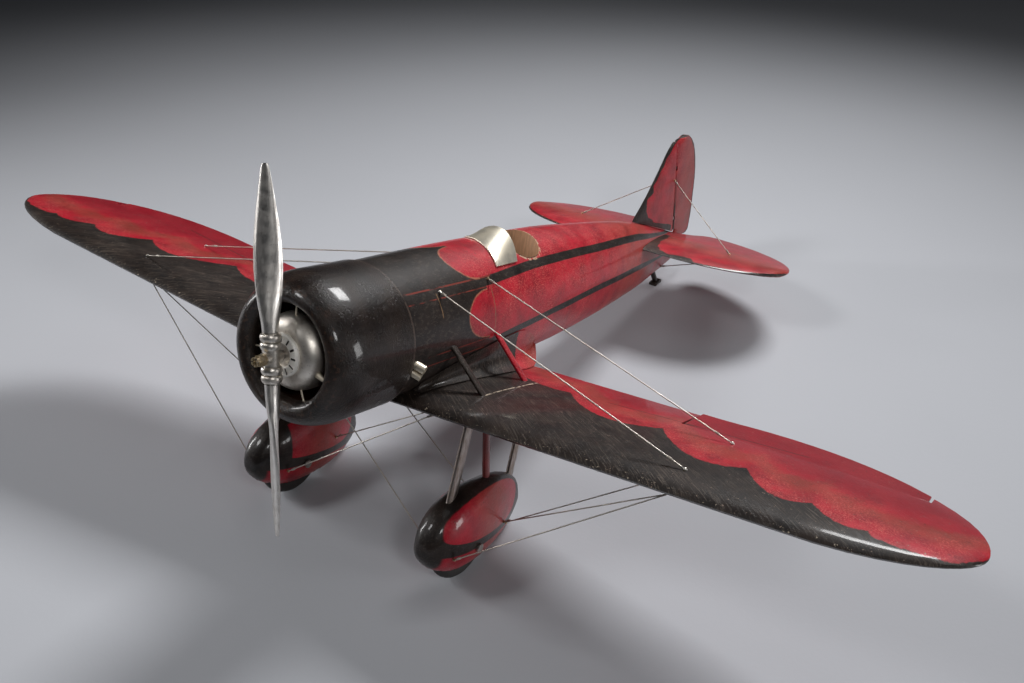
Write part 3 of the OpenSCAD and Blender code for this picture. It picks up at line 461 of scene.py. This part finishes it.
# %% The striped fuselage
upper_stripe_line = [(44, 20.6), (100, 21.1), (120, 21.6), (158, 22.7), (216, 21.7), (292, 18.5), (350, 13.4)]
lower_stripe_line = [(100, -5.8), (123, -4.4), (160, -1.9), (187, -0.2), (218, 1.1), (255, 1.4),
                     (284, 1.4), (318, 0.8), (350, 0)]
stripe_width, stripe_thins_from = 3.5, 315
top_red_y, side_red_y, belly_red_y = 104, 106, 112
top_nose_x, top_nose_half, top_nose_reach = 11, 10.2, 14.4
side_nose_z, side_nose_half, side_nose_reach = 8.0, 10.4, 17.5


def fuselage_marks(finish):
    """Heights above the two stripes, and how far out a spot lies in the ovals that begin the red."""
    side = abs(finish.x)
    upper = finish.z - through(finish, finish.y, upper_stripe_line)
    lower = finish.z - through(finish, finish.y, lower_stripe_line)
    top_nose = rounded((side - top_nose_x) / top_nose_half, (finish.y - top_red_y) / top_nose_reach)
    side_nose = rounded((finish.y - side_red_y) / side_nose_reach, (finish.z - side_nose_z) / side_nose_half)
    return upper, lower, top_nose, side_nose


def half_stripe(finish):
    return stripe_width / 2 * (1 - 0.55 * past(finish.y, stripe_thins_from, 60))


def fuselage_red(finish):
    upper, lower, top_nose, side_nose = fuselage_marks(finish)
    half = half_stripe(finish)
    top = past(upper - half, 0) * either(1 - past(top_nose, 1, 0.03), past(finish.y, top_red_y, 0.2))
    between_stripes = (1 - past(upper + half, 0)) * past(lower - half, 0)
    flank = either(1 - past(side_nose, 1, 0.03), past(finish.y, side_red_y, 0.2)) * between_stripes
    belly = (1 - past(lower + half, 0)) * past(finish.y, belly_red_y, 1.0)
    return either(top, flank, belly)


print("stripes are", stripe_width, "mm wide")

# %% [markdown]
# Thin lines finish the trim. The scallops have an outline, and pairs of pinstripes run forward over the
# black, worn through in places. Where the planks of the body meet, a brown seam shows, and the end that slips
# under the cowl is painted nearly black as shade. Each line is the narrow band where a height, or a distance
# that we already have, lies between two values, so nothing new has to be drawn.

# %% Outlines, pinstripes and seams
high_pinstripes, low_pinstripes = [(22.5, 23.0), (19.0, 19.4)], [(-3.3, -2.8), (-7.7, -7.2)]
front_seam_y, rear_seam_y, seam_width, shade_under_cowl_to = 69.8, 109.0, 0.5, 50.3


def fuselage_outline(finish):
    upper, lower, top_nose, side_nose = fuselage_marks(finish)
    over = either(between(top_nose, 0.96, 1.03, 0.03) * (1 - past(finish.y, top_red_y)) * past(finish.z, 15),
                  between(side_nose, 0.965, 1.025, 0.025) * (1 - past(finish.y, side_red_y)))
    return over * (0.35 + 0.5 * past(grain(finish, 1.5), 0.5, 0.2))


def pinstripes(finish):
    broken = past(grain(finish, 2.2, (1, 3, 1)), 0.44, 0.2)
    high_pair = either(*(between(finish.z, bottom, top, 0.2) for bottom, top in high_pinstripes))
    low_pair = either(*(between(finish.z, bottom, top, 0.2) for bottom, top in low_pinstripes))
    high, low = high_pair * between(finish.y, 50, 112, 1), low_pair * between(finish.y, 60, 106, 1)
    return either(high, low) * broken * 0.8


def plank_seams(finish):
    front = between(finish.y, front_seam_y, front_seam_y + seam_width, 0.2) * between(finish.z, 12, 21, 1.0)
    bent = finish.y + (grain(finish, 4) - 0.5) * 2
    rear = between(bent, rear_seam_y, rear_seam_y + seam_width, 0.3) * between(finish.z, 0, 19, 1.0)
    return either(front, rear) * 0.9


# Painted shadow: the body just behind the cowl's rear edge is darkened nearly to black.
def under_cowl(finish):
    return (1 - past(finish.y, shade_under_cowl_to, 0.9)) * 0.95


def behind_scallops(finish):
    """A slow depth of red: the film darkens towards the tail."""
    return (finish.y - 190) * 0.16


print(2 * len(high_pinstripes + low_pinstripes), "pinstripes")

# %% [markdown]
# The cockpit is an opening cut down into the carved body. Its walls were never lacquered: the upper part of
# the rear wall is bare tan wood with fine upright grain, and the rest of the inside is painted dark brown.
# The same fuselage surface covers both, so the inside is painted by a mask, every spot that lies within the
# outline of the opening. Handling has chipped the rim pale.

# %% Inside the cockpit
cockpit_y, cockpit_half_width, cockpit_half_length, cockpit_floor_z = 154, 17.5, 16, -4
bare_wall_from_y, bare_wall_from_z, worn_rim_from_y, worn_rim_from_z = 160, 13, 143, 15


def out_of_cockpit(finish):
    """1 on the wall of the opening, whose outline is an oval a little squarer along the body."""
    across, along = finish.x / cockpit_half_width, (finish.y - cockpit_y) / cockpit_half_length
    return abs(across) ** 2.0 + abs(along) ** 2.5


def inside_cockpit(finish):
    return (1 - past(out_of_cockpit(finish), 1.02, 0.02)) * past(finish.z, cockpit_floor_z, 0.5)


def bare_rear_wall(finish):
    streaks = 0.75 + 0.25 * past(grain(finish, 0.8, (1, 1, 9), detail=4.0), 0.5, 0.4)
    wall = inside_cockpit(finish) * past(finish.y, bare_wall_from_y, 3) * past(finish.z, bare_wall_from_z, 3)
    return wall * streaks


def chipped_rim(finish):
    edge = between(out_of_cockpit(finish), 1.02, 1.13, 0.03) * past(finish.z, worn_rim_from_z)
    return edge * past(finish.y, worn_rim_from_y, 6) * past(grain(finish, 1.8, detail=4.0), 0.50, 0.10)


fuselage_lacquer = lacquer(
    "fuselage_lacquer", fuselage_red, strokes=(3, 7, 3), depth_of_red=behind_scallops, wrinkles=(1.5, 0.05),
    gloss=0.36, stroke_share=0.22,
    marks=[(plank_seams, (0.20, 0.12, 0.06)), (pinstripes, (0.22, 0.030, 0.018)),
           (fuselage_outline, (0.34, 0.13, 0.075)), (under_cowl, (0.002, 0.0015, 0.001)),
           (flecks, (0.13, 0.095, 0.075)), (chipped_rim, (0.45, 0.30, 0.20)),
           (inside_cockpit, (0.028, 0.014, 0.008)), (bare_rear_wall, (0.54, 0.29, 0.16))])
print("the opening is", 2 * cockpit_half_width, "mm wide")

# %% [markdown]
# The cowl ring is the glossiest piece. Its thick black varnish has crazed into a fine leathery crinkle,
# which is why its highlights break up into sparks. Real displacement would need a mesh far finer than
# ours, so it is a bump: two sizes of noise lift the surface by a little over a tenth of a millimetre.
# Inside the ring the varnish stops and dark reddish wood shows.

# %% The cowl
cowl_bore, lining_from, rear_highlight_band, worn_lip = 29.3, 13, (47.6, 48.5), 9
crinkle_width, crinkle_depth = 0.8, 0.14


def no_red(finish):
    return past(finish.y, 10000, 1.0)


def inside_cowl(finish):
    return (1 - past(rounded(finish.x, finish.z), cowl_bore, 0.4)) * past(finish.y, lining_from, 0.6)


def cowl_cracks(finish):
    across_grain = grain(finish, 1.4, (2, 1, 2), detail=4.0)
    return (1 - past(abs(across_grain - 0.5), 0.006, 0.006)) * past(grain(finish, 14.0), 0.5, 0.1) * 0.5


# Painted highlight: a pale line, broken up by noise, just inside the cowl's rear edge, where the step down to
# the body catches the light.
def rear_edge(finish):
    return between(finish.y, *rear_highlight_band, 0.4) * past(grain(finish, 3.0, detail=4.0), 0.42, 0.2) * 0.7


def lip_wear(finish):
    return (1 - past(finish.y, worn_lip, 8)) * past(grain(finish, 2.0, detail=4.0), 0.60, 0.06) * 0.4


cowl_lacquer = lacquer(
    "cowl_lacquer", no_red, strokes=(6, 2, 6), wrinkles=(crinkle_width, crinkle_depth), gloss=0.22,
    stroke_share=0.12,
    marks=[(cowl_cracks, (0.07, 0.05, 0.04)), (lip_wear, (0.10, 0.05, 0.03)),
           (rear_edge, (0.085, 0.06, 0.048)), (inside_cowl, (0.055, 0.022, 0.013))])
print("crinkle", crinkle_width, "mm across and", crinkle_depth, "mm deep")

# %% [markdown]
# Each wheel spat has a squared oval of red on both sides, with a black spine between them and black
# around them, and a red belly below a black stripe. The oval is squarer below than above. One formula for
# the whole oval would not fit, so its two halves have their own heights and their own squareness.

# %% Spats
spat_x, panel_y, panel_z = 51, 80.8, -72.6
panel_half_length, panel_height, panel_front_depth, panel_deepens = 30.8, 12.3, 4.4, 0.145
belly_below_hub, belly_slope, rim_below_hub = 82.7, 0.10, 95.9
spine_half_width, spine_y, spine_reach = 4.0, 80, 37


def spat_panel(finish):
    """The squared oval: its own height above the middle line, and a growing depth below it."""
    along = (finish.y - panel_y) / panel_half_length
    upper = (finish.z - panel_z) / panel_height
    lower = (finish.z - panel_z) / (panel_front_depth + panel_deepens * (finish.y - 53))
    high, low = 1 - past(rounded(along, upper, 2.1), 1, 0.03), 1 - past(rounded(along, lower, 3.5), 1, 0.04)
    top_half = past(upper, 0, 0.05)
    return high * top_half + low * (1 - top_half)


def spat_red(finish):
    belly_line = finish.z + belly_below_hub + belly_slope * (finish.y - 57)
    belly = (1 - past(belly_line, 0, 0.6)) * past(finish.y, 50, 2) * past(finish.z, -rim_below_hub, 0.6)
    across = abs(finish.x) - spat_x
    spine = spine_half_width * (1 - ((finish.y - spine_y) / spine_reach) ** 2)
    outer = past(across - spine, 0, 0.8)
    inner = past(0 - across - spine, 0, 0.8) * past(finish.y, 62, 1)
    return either(spat_panel(finish) * either(outer, inner), belly)


def spat_depth(finish):
    return (finish.y - 50) * 0.45


spat_lacquer = lacquer(
    "spat_lacquer", spat_red, strokes=(2, 8, 2), wrinkles=(1.3, 0.05), gloss=0.26, grit=0.25,
    depth_of_red=spat_depth, stroke_share=0.15, marks=[(flecks, (0.09, 0.065, 0.05))])
print("each panel is", 2 * panel_half_length, "mm long")

# %% [markdown]
# On the tailplane the black shrinks to a patch at each root and a narrow, chipped leading edge. Its edge
# was drawn by eye, so it is written as a few stops across the tailplane with a smooth line through them.
# The leading edge is the formula that the CAD used, because the black follows it closely.

# %% The tailplane
tail_half, tail_lead, tail_round, tail_round_from = 90.5, 292.5, 43.5, 0.3
tail_front_line = [(8, 345), (10.2, 336.3), (14, 315.9), (18.4, 303.7), (23, 298.2), (28.9, 295.7),
                   (35.7, 298.1), (41.9, 299.1), (45.9, 295.7), (49.6, 291.7)]


def tail_edge(finish):
    """The leading edge of the tailplane: straight near the root, then rounded back to the tip."""
    out = finish.node("ShaderNodeClamp", {}, {
        0: (abs(finish.x) / tail_half - tail_round_from) / (1 - tail_round_from)})
    return tail_lead + tail_round * (1 - (1.0001 - out * out) ** 0.5)


def tail_red(finish):
    wobble = (grain(finish, 2.0) - 0.5) * 1.6
    line = through(finish, abs(finish.x), tail_front_line, "EASE")
    front = line.maths("MAXIMUM", line, tail_edge(finish) + 1.3)
    return past(finish.y + wobble - front, 0, 0.8)


def tail_depth(finish):
    return (finish.y - 300) * 0.5


def tail_chips(finish):
    return (1 - past(finish.y - tail_edge(finish), 1.6, 1.2)) * chips(finish, 1.5, 0.64) * 0.7


def root_stain(finish):
    return (1 - past(abs(finish.x), 17, 6)) * past(grain(finish, 3.0, detail=4.0), 0.5, 0.2) * 0.35


def trailing_line(finish):
    return past(finish.y + 0.02 * abs(finish.x), 381, 1) * (1 - past(abs(finish.x), 45, 20)) * 0.6


tail_lacquer = lacquer(
    "tail_lacquer", tail_red, strokes=(9, 1, 1), slant=12, depth_of_red=tail_depth,
    marks=[(root_stain, (0.12, 0.05, 0.03)), (trailing_line, black_warm), (tail_chips, bare_pale),
           (flecks, (0.3, 0.22, 0.17))])
print("tailplane", 2 * tail_half, "mm across")

# %% [markdown]
# Fin and rudder share one lacquer, so the red runs on from one to the other as if they were painted
# together. The black along the fin's leading edge widens into a patch at the foot. The rudder is outlined
# by a dark line along its trailing edge, and another, stronger at the foot, marks the hinge.

# %% Fin and rudder
fin_front_line = [(16.9, 358.3), (23, 325.8), (27.1, 316.5), (31.2, 313.8), (36.9, 313.3), (42.2, 319.6),
                  (45.4, 318.8), (52.3, 319.1), (60.3, 322.6), (70, 330.5), (78, 340)]
fin_lead_line = [(17, 296), (28, 301.6), (36, 309.6), (46.7, 317.8), (55.6, 324.2), (64.6, 330),
                 (71.7, 336.5), (75, 344), (77, 355)]
rudder_trail_line = [(8.5, 385), (11, 391), (20, 390.8), (34, 387.6), (53, 382), (69, 371.9),
                     (75, 363.4), (77, 357)]
hinge_foot_y, hinge_foot_z, hinge_lean = 363.8, 13.5, 0.384


def fin_red(finish):
    wobble = (grain(finish, 2.0) - 0.5) * 1.6
    front = through(finish, finish.z, fin_front_line, "EASE")
    front = front.maths("MAXIMUM", front, through(finish, finish.z, fin_lead_line) + 1.8)
    return past(finish.y + wobble - front, 0, 0.9)


def fin_depth(finish):
    return (finish.y - 320) * 0.3


def rudder_lines(finish):
    trail = through(finish, finish.z, rudder_trail_line)
    outline = past(finish.y - trail, -1.6, 0.8) * 0.85
    hinge = abs(finish.y - hinge_foot_y + hinge_lean * (finish.z - hinge_foot_z))
    fading_up = 0.9 - 0.5 * past(finish.z, 32, 6) - 0.4 * past(finish.z, 50, 8)
    hinge_mark = (1 - past(hinge, 1.3, 0.8)) * fading_up
    return either(outline, hinge_mark)


fin_lacquer = lacquer(
    "fin_lacquer", fin_red, strokes=(1, 1, 9), depth_of_red=fin_depth,
    marks=[(rudder_lines, black_warm), (flecks, (0.3, 0.2, 0.16))])
print("hinge leans", round(math.degrees(math.atan(hinge_lean)), 1), "degrees")

# %% [markdown]
# Bare metal differs mainly in how it was worked. The propeller was filed and polished lengthways, so its
# scratches run up the blade. The gear case is a bright casting with a little brown stain. One function
# makes them all from a colour, a roughness and the stretch of the scratches. The filing also left the
# faces of the blades a little round, which a second and much wider bump gives them.

# %% Metals
blade_lean, blade_half = 9.2, 5.8
tarnish, pitted, rubbed_bright = (0.17, 0.12, 0.085), (0.12, 0.09, 0.065), (0.85, 0.83, 0.80)


def metal(name, colour, rough, stretch=(1, 1, 1), depth=0.012, dirt=0.45, shine=1.0, crown=None, marks=()):
    """crown is how far the filed face swells, in millimetres, between the two edges of a blade."""
    finish = Finish(name, Metallic=shine)
    lines = grain(finish, 0.5, stretch, detail=4.0, rough=0.65)
    cloud = past(grain(finish, 4.5, detail=5.0), 0.50, 0.3)
    spots = past(grain(finish, 1.1, detail=2.0), 0.66, 0.05)
    shade = blend(cloud * dirt, colour, tarnish)
    shade = blend(spots * 0.3, shade, pitted)
    shade = blend(past(lines, 0.55, 0.3) * 0.25, shade, rubbed_bright)
    for mask, paint in marks:
        shade = blend(mask(finish), shade, paint)
    normal = relief(finish, lines, depth)
    if crown:
        lean = math.radians(blade_lean)
        out = abs(math.cos(lean) * finish.x + math.sin(lean) * finish.z) / blade_half
        swell = 1 - finish.node("ShaderNodeClamp", {}, {0: out}) ** 2.0
        normal = relief(finish, swell, crown, normal)
    finish.feed(Base_Color=shade, Roughness=rough + 0.20 * lines + 0.12 * cloud, Normal=normal)
    return finish.material


print("a blade leans", blade_lean, "degrees")

# %% [markdown]
# The case, the hub and the blades are pale alloys, and the steel and brass parts are darker and duller.
# The ring round the shaft is cast in a paler metal and has slots, and the shade down in them is painted in as
# a dark mark.

# %% A metal for each part


def down_the_slots(finish):
    """Painted shade in the slots of the ring round the shaft, which go 1.1 mm down from its face 4.6 mm
    behind the hub.
    """
    return past(finish.y, 4.9, 0.3) * between(rounded(finish.x, finish.z), 5.2, 8.1, 0.1)


case_alloy = metal("case_alloy", (0.78, 0.73, 0.66), 0.28, depth=0.03, dirt=0.3)
hub_alloy = metal("hub_alloy", (0.74, 0.70, 0.64), 0.24)
blade_alloy = metal("blade_alloy", (0.80, 0.77, 0.73), 0.22, (1, 1, 16), dirt=0.25, crown=2.2)
cast_white = metal("cast_white", (0.93, 0.90, 0.84), 0.42, depth=0.05, dirt=0.15, shine=0.1, marks=[
    (down_the_slots, (0.02, 0.014, 0.011))])
steel = metal("steel", (0.45, 0.43, 0.41), 0.30)
brass = metal("brass", (0.62, 0.47, 0.27), 0.30)
bronze = metal("bronze", (0.42, 0.33, 0.19), 0.34, depth=0.04)
wheel_alloy = metal("wheel_alloy", (0.50, 0.48, 0.46), 0.32)
pipe_metal = metal("pipe_metal", (0.78, 0.70, 0.56), 0.38, dirt=0.2)
strut_metal = metal("strut_metal", (0.34, 0.28, 0.25), 0.20, (1, 1, 12))
print("metals made")

# %% [markdown]
# The windshield is rolled tin with a faint yellow cast, and the bracing is drawn wire, grey with a little
# rust. The function for metals would do, but neither has pits or stains of any size, so each is a finish
# of its own with only the noise that it needs.

# %% Sheet and wire
sheet = Finish("sheet", Metallic=0.85)
rolled = grain(sheet, 0.5, (9, 1, 3), detail=4.0)
dull = past(grain(sheet, 6.0, detail=4.0), 0.5, 0.4)
sheet.feed(Base_Color=blend(dull * 0.5, (0.74, 0.69, 0.58), (0.50, 0.44, 0.33)),
           Roughness=0.30 + 0.16 * rolled + 0.14 * dull, Normal=relief(sheet, rolled, 0.015))

bracing_wire = Finish("bracing_wire", Metallic=0.6)
rust = past(grain(bracing_wire, 6.0, detail=3.0), 0.5, 0.5)
bracing_wire.feed(Base_Color=blend(rust * 0.4, (0.52, 0.48, 0.43), (0.30, 0.24, 0.19)),
                  Roughness=0.30 + 0.1 * rust,
                  Normal=relief(bracing_wire, grain(bracing_wire, 0.6), 0.002))
print("sheet and wire made")

# %% [markdown]
# The short struts at the wing roots are painted sticks, the front one black and the rear one red. The
# middle leg of each wheel has gone brown with age, so a brown mark lies nearly all over its red. The same
# lacquer function paints them with strokes that run up the stick. The tyres are plain dull rubber, rough
# and almost black.

# %% Painted struts and rubber


def all_red(finish):
    return past(finish.y, -1000, 1.0)


red_strut = lacquer("red_strut", all_red, strokes=(1, 1, 8), gloss=0.3)


def old_brown(finish):
    return 0.55 + 0.35 * grain(finish, 3.0, (1, 1, 5))


brown_strut = lacquer("brown_strut", all_red, strokes=(1, 1, 8), gloss=0.32,
                      marks=[(old_brown, (0.055, 0.022, 0.016))])
black_strut = lacquer("black_strut", no_red, strokes=(1, 1, 8), gloss=0.3)

rubber = Finish("rubber")
rubber.feed(Base_Color=blend(grain(rubber, 1.0), (0.012, 0.011, 0.010), (0.035, 0.032, 0.030)),
            Roughness=0.55 + 0.2 * grain(rubber, 0.6), Normal=relief(rubber, grain(rubber, 0.5), 0.03))
print(len(bpy.data.materials), "finishes so far")

# %% [markdown]
# Now each part gets its finish. Parts on the left and on the right have names that begin alike, so one
# table of those beginnings covers them all. Where two of its keys fit a name, as aileron and aileron_pin
# do, the longer one counts.

# %% A finish for each part
finish_of = {
    "cowl_shell": cowl_lacquer, "firewall": cowl_lacquer, "gear_case": case_alloy, "boss_ring": cast_white,
    "dome_pins": pipe_metal, "prop_shaft": steel, "prop_hub": hub_alloy, "blade": blade_alloy,
    "clamp_rings": hub_alloy, "hub_nut": bronze, "fuselage": fuselage_lacquer, "windshield": sheet.material,
    "exhaust": pipe_metal, "wing": wing_lacquer, "fillet": wing_lacquer, "aileron_pin": steel,
    "aileron": wing_lacquer, "root_strut_front": black_strut, "root_strut_rear": red_strut,
    "leg_front": strut_metal, "leg_middle": brown_strut, "leg_rear": strut_metal, "spat": spat_lacquer,
    "axle": steel, "wheel": wheel_alloy, "tyre": rubber.material, "tailplane": tail_lacquer,
    "fin": fin_lacquer, "rudder_hinges": steel, "rudder_pin": steel, "rudder": fin_lacquer,
    "tail_skid": black_strut, "anchors": brass, "upper_wires": bracing_wire.material,
    "lower_wires": bracing_wire.material, "cross_wires": bracing_wire.material,
    "tail_wires": bracing_wire.material,
}


def finish_for(name):
    """The finish whose key is the longest that the part's name begins with."""
    fitting = [key for key in finish_of if name.startswith(key)]
    return finish_of[max(fitting, key=len)]


for name, part in parts.items():
    part.data.materials.clear()
    part.data.materials.append(finish_for(name))
print("finishes given to", len(parts), "parts")

# %% [markdown]
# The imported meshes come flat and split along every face. We weld the doubled points and let a modifier
# split only the creases, so that a curve made of many small faces shades as one curve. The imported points
# stay where they are.

# %% Smooth the surfaces
crease_angle = math.radians(33)


def smooth_surface(part):
    mesh = part.data
    if "custom_normal" in mesh.attributes:
        mesh.attributes.remove(mesh.attributes["custom_normal"])
    if "sharp_edge" in mesh.attributes:
        mesh.attributes.remove(mesh.attributes["sharp_edge"])
    mesh.shade_smooth()
    weld = part.modifiers.new("weld", "WELD")
    weld.merge_threshold = 1e-6
    crease = part.modifiers.new("crease", "EDGE_SPLIT")
    crease.split_angle = crease_angle


for part in parts.values():
    smooth_surface(part)
print("creases sharper than", round(math.degrees(crease_angle)), "degrees are kept")

# %% [markdown]
# The bracing wires were passed round pins, turned back and wrapped tightly about themselves, and no CAD
# part shows that. First we need both ends of each wire, in level millimetres. They are given for the
# wires that start on the model's left, and the other side mirrors them.

# %% Where the wires end
upper_ends = [((22.55, 72.5, 21.55), (147.96, 61, -7.52)), ((22.25, 109, 22.09), (150.96, 101, -7.97))]
lower_ends = [((61.01, 55.5, -83.6), (148.04, 61, -16.12)), ((57.77, 99.1, -83.3), (151.04, 101, -15.23))]
cross_ends = [((40.07, 61.1, -84), (-36.04, 60.9, -27.03)), ((43.71, 97.1, -78), (-36.04, 96.9, -27.97))]
tail_ends = [((2.4, 346.36, 48), (53, 335, 13.9)), ((4.86, 348, -9), (53, 335, 9.1))]


def mirrored(spot, side):
    return Vector((side * spot[0], spot[1], spot[2]))


def both_sides(ends):
    return [(mirrored(a, side), mirrored(b, side)) for a, b in ends for side in (1, -1)]


print(len(both_sides(upper_ends + lower_ends + cross_ends + tail_ends)), "wires have wrapped ends")

# %% [markdown]
# A wrap is a helix wound round the wire just beyond its pin. A mesh could show it, but a curve needs only
# the points of its middle line, and a bevel turns that bare line into wire. The points of a curve are
# placed as everything else is, from level millimetres.

# %% A wrap as a curve
wire_radius, wrap_radius = 0.28, 0.16
wrap_start, wrap_length, wrap_turns, steps_per_turn = 1.2, 2.2, 6, 10


def wire_curve(name, radius):
    curve = bpy.data.curves.new(name, "CURVE")
    curve.dimensions = "3D"
    curve.bevel_depth = radius * mm
    curve.bevel_resolution = 2
    curve.use_fill_caps = True
    return curve


def add_line(curve, spots):
    line = curve.splines.new("POLY")
    line.points.add(len(spots) - 1)
    for point, spot in zip(line.points, spots):
        point.co = (*place(*spot), 1)


def wrap_about(start, end, first=wrap_start):
    """Points of a helix round the wire that runs from start to end, beginning a little beyond start."""
    way = (end - start).normalized()
    aside = way.cross(Vector((0, 0, 1))).normalized()
    above = way.cross(aside)
    count = wrap_turns * steps_per_turn
    reach = wire_radius + wrap_radius * 0.8
    spots = []
    for i in range(count + 1):
        angle = 2 * math.pi * i / steps_per_turn
        out = aside * math.cos(angle) + above * math.sin(angle)
        spots.append(start + way * (first + wrap_length * i / count) + out * reach)
    return spots


print("a wrap of", wrap_turns, "turns is", wrap_length, "mm long")

# %% [markdown]
# One curve object holds all the wraps. On the wings the upper wires were wrapped a little way up, which
# leaves a knot. Whatever we add has to ride on a body of the aeroplane, so that it goes along when the
# joints move.

# %% Wrap the wires
knot_from_pin = 6.0


def add_piece(name, data, material, at=None):
    """A new piece of wire or solder in its place, which then rides on the airframe."""
    piece = bpy.data.objects.new(name, data)
    bpy.context.scene.collection.objects.link(piece)
    if at:
        piece.matrix_world = at
    piece.data.materials.append(material)
    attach(piece, "airframe")
    return piece


wraps = wire_curve("wire_wraps", wrap_radius)
for a, b in both_sides(lower_ends + cross_ends + tail_ends):
    add_line(wraps, wrap_about(a, b))
    add_line(wraps, wrap_about(b, a))
for a, b in both_sides(upper_ends):
    add_line(wraps, wrap_about(a, b))
    add_line(wraps, wrap_about(b, a, knot_from_pin))
add_piece("wire_wraps", wraps, bracing_wire.material)
print(len(wraps.splines), "wraps in one piece")

# %% [markdown]
# The upper wires end in bright drops of solder, on all four pins of the wings and on the two front pins
# of the body. A sphere would do from afar, but a drop is drawn out along its wire. So it is a lathed
# shape: rings of points round an axis, joined into quads and smoothed, with its own Z turned to the way
# the wire runs.

# %% Solder drops


def lathe(name, profile, sides=16):
    """A closed shape from (along, radius) pairs, in millimetres, round its own Z."""
    shape = bmesh.new()
    rings = []
    for along, radius in profile:
        ring = []
        for i in range(sides):
            angle = 2 * math.pi * i / sides
            across, up = radius * math.cos(angle), radius * math.sin(angle)
            ring.append(shape.verts.new((across * mm, up * mm, along * mm)))
        rings.append(ring)
    for low, high in zip(rings, rings[1:]):
        for i in range(sides):
            shape.faces.new((low[i], low[(i + 1) % sides], high[(i + 1) % sides], high[i]))
    shape.faces.new(rings[0][::-1])
    shape.faces.new(rings[-1])
    mesh = bpy.data.meshes.new(name)
    shape.to_mesh(mesh)
    shape.free()
    mesh.shade_smooth()
    return mesh


solder = metal("solder", (0.84, 0.82, 0.78), 0.22)
drop_profile = [(-0.9, 0.10), (-0.7, 0.45), (-0.3, 0.70), (0.2, 0.72), (0.6, 0.50), (0.9, 0.30), (1.5, 0.29)]
drop_spots = both_sides(upper_ends) + [(b, a) for a, b in both_sides(upper_ends[:1])]
for number, (a, b) in enumerate(drop_spots):
    name = "solder_drop_" + str(number)
    lie = (stand.to_3x3() @ (a - b)).to_track_quat("Z", "X").to_matrix().to_4x4()
    add_piece(name, lathe(name, drop_profile), solder, Matrix.Translation(place(*b)) @ lie)
print(len(drop_spots), "drops of solder")

# %% [markdown]
# The real model stands on seamless studio paper. A plain pale floor does that job: one large square, with the
# fine fibres of paper and a slow drift between two greys.

# %% The floor
floor_mesh = bpy.data.meshes.new("floor")
floor_half = 6.0
corners = [(-floor_half, -floor_half, 0), (floor_half, -floor_half, 0),
           (floor_half, floor_half, 0), (-floor_half, floor_half, 0)]
floor_mesh.from_pydata(corners, [], [(0, 1, 2, 3)])
floor = bpy.data.objects.new("floor", floor_mesh)
bpy.context.scene.collection.objects.link(floor)
paper = Finish("paper", Roughness=0.9)
fibres = grain(paper, 0.8, (3, 3, 3), detail=4.0)
paper.feed(Base_Color=blend(grain(paper, 300.0), (0.39, 0.40, 0.43), (0.44, 0.45, 0.48)),
           Normal=relief(paper, fibres, 0.05))
floor_mesh.materials.append(paper.material)
print("floor", 2 * floor_half, "m wide")

# %% [markdown]
# Most of the light comes from one large soft lamp high behind the tail, which draws the long highlights
# along the wings and the back. Weaker cards to the sides and the front pick out the cowl, the propeller
# and the spats. All of them face one spot in the middle of the model, so each lamp needs only two angles
# and a distance.

# %% The light
aim = Vector((0, 0, 0.09))


def softbox(name, turn, lift, distance, size, watts, spread=75):
    """A soft lamp, turn degrees round from the nose towards the model's left and lift degrees above it."""
    spot = aim + distance * direction(math.radians(turn), math.radians(lift))
    lamp = bpy.data.lights.new(name, "AREA")
    lamp.shape = "RECTANGLE"
    lamp.size, lamp.size_y = size
    lamp.energy = watts
    lamp.spread = math.radians(spread)
    holder = bpy.data.objects.new(name, lamp)
    facing = (aim - spot).to_track_quat("-Z", "Y").to_matrix().to_4x4()
    holder.matrix_world = Matrix.Translation(spot) @ facing
    bpy.context.scene.collection.objects.link(holder)
    holder.visible_camera = False
    return holder


softbox("key", 178, 48, 1.5, (0.55, 0.4), 3.4, 65)
softbox("overhead", 150, 84, 1.4, (0.8, 0.8), 0.2)
softbox("side_card", 102, 5, 1.0, (0.22, 0.3), 0.5)
softbox("left_strip", -69, 12, 1.1, (0.12, 0.5), 0.9)
softbox("front_left", -40, 43, 1.4, (0.28, 0.28), 0.9)
softbox("front_right", 52, 36, 1.3, (0.2, 0.2), 0.5)

sky = bpy.data.worlds.new("sky")
sky.use_nodes = True
background = sky.node_tree.nodes["Background"]
background.inputs["Color"].default_value = (0.55, 0.58, 0.64, 1)
background.inputs["Strength"].default_value = 0.025
bpy.context.scene.world = sky
bpy.context.scene.view_settings.view_transform = "Standard"
print(len(bpy.data.lights), "lamps")
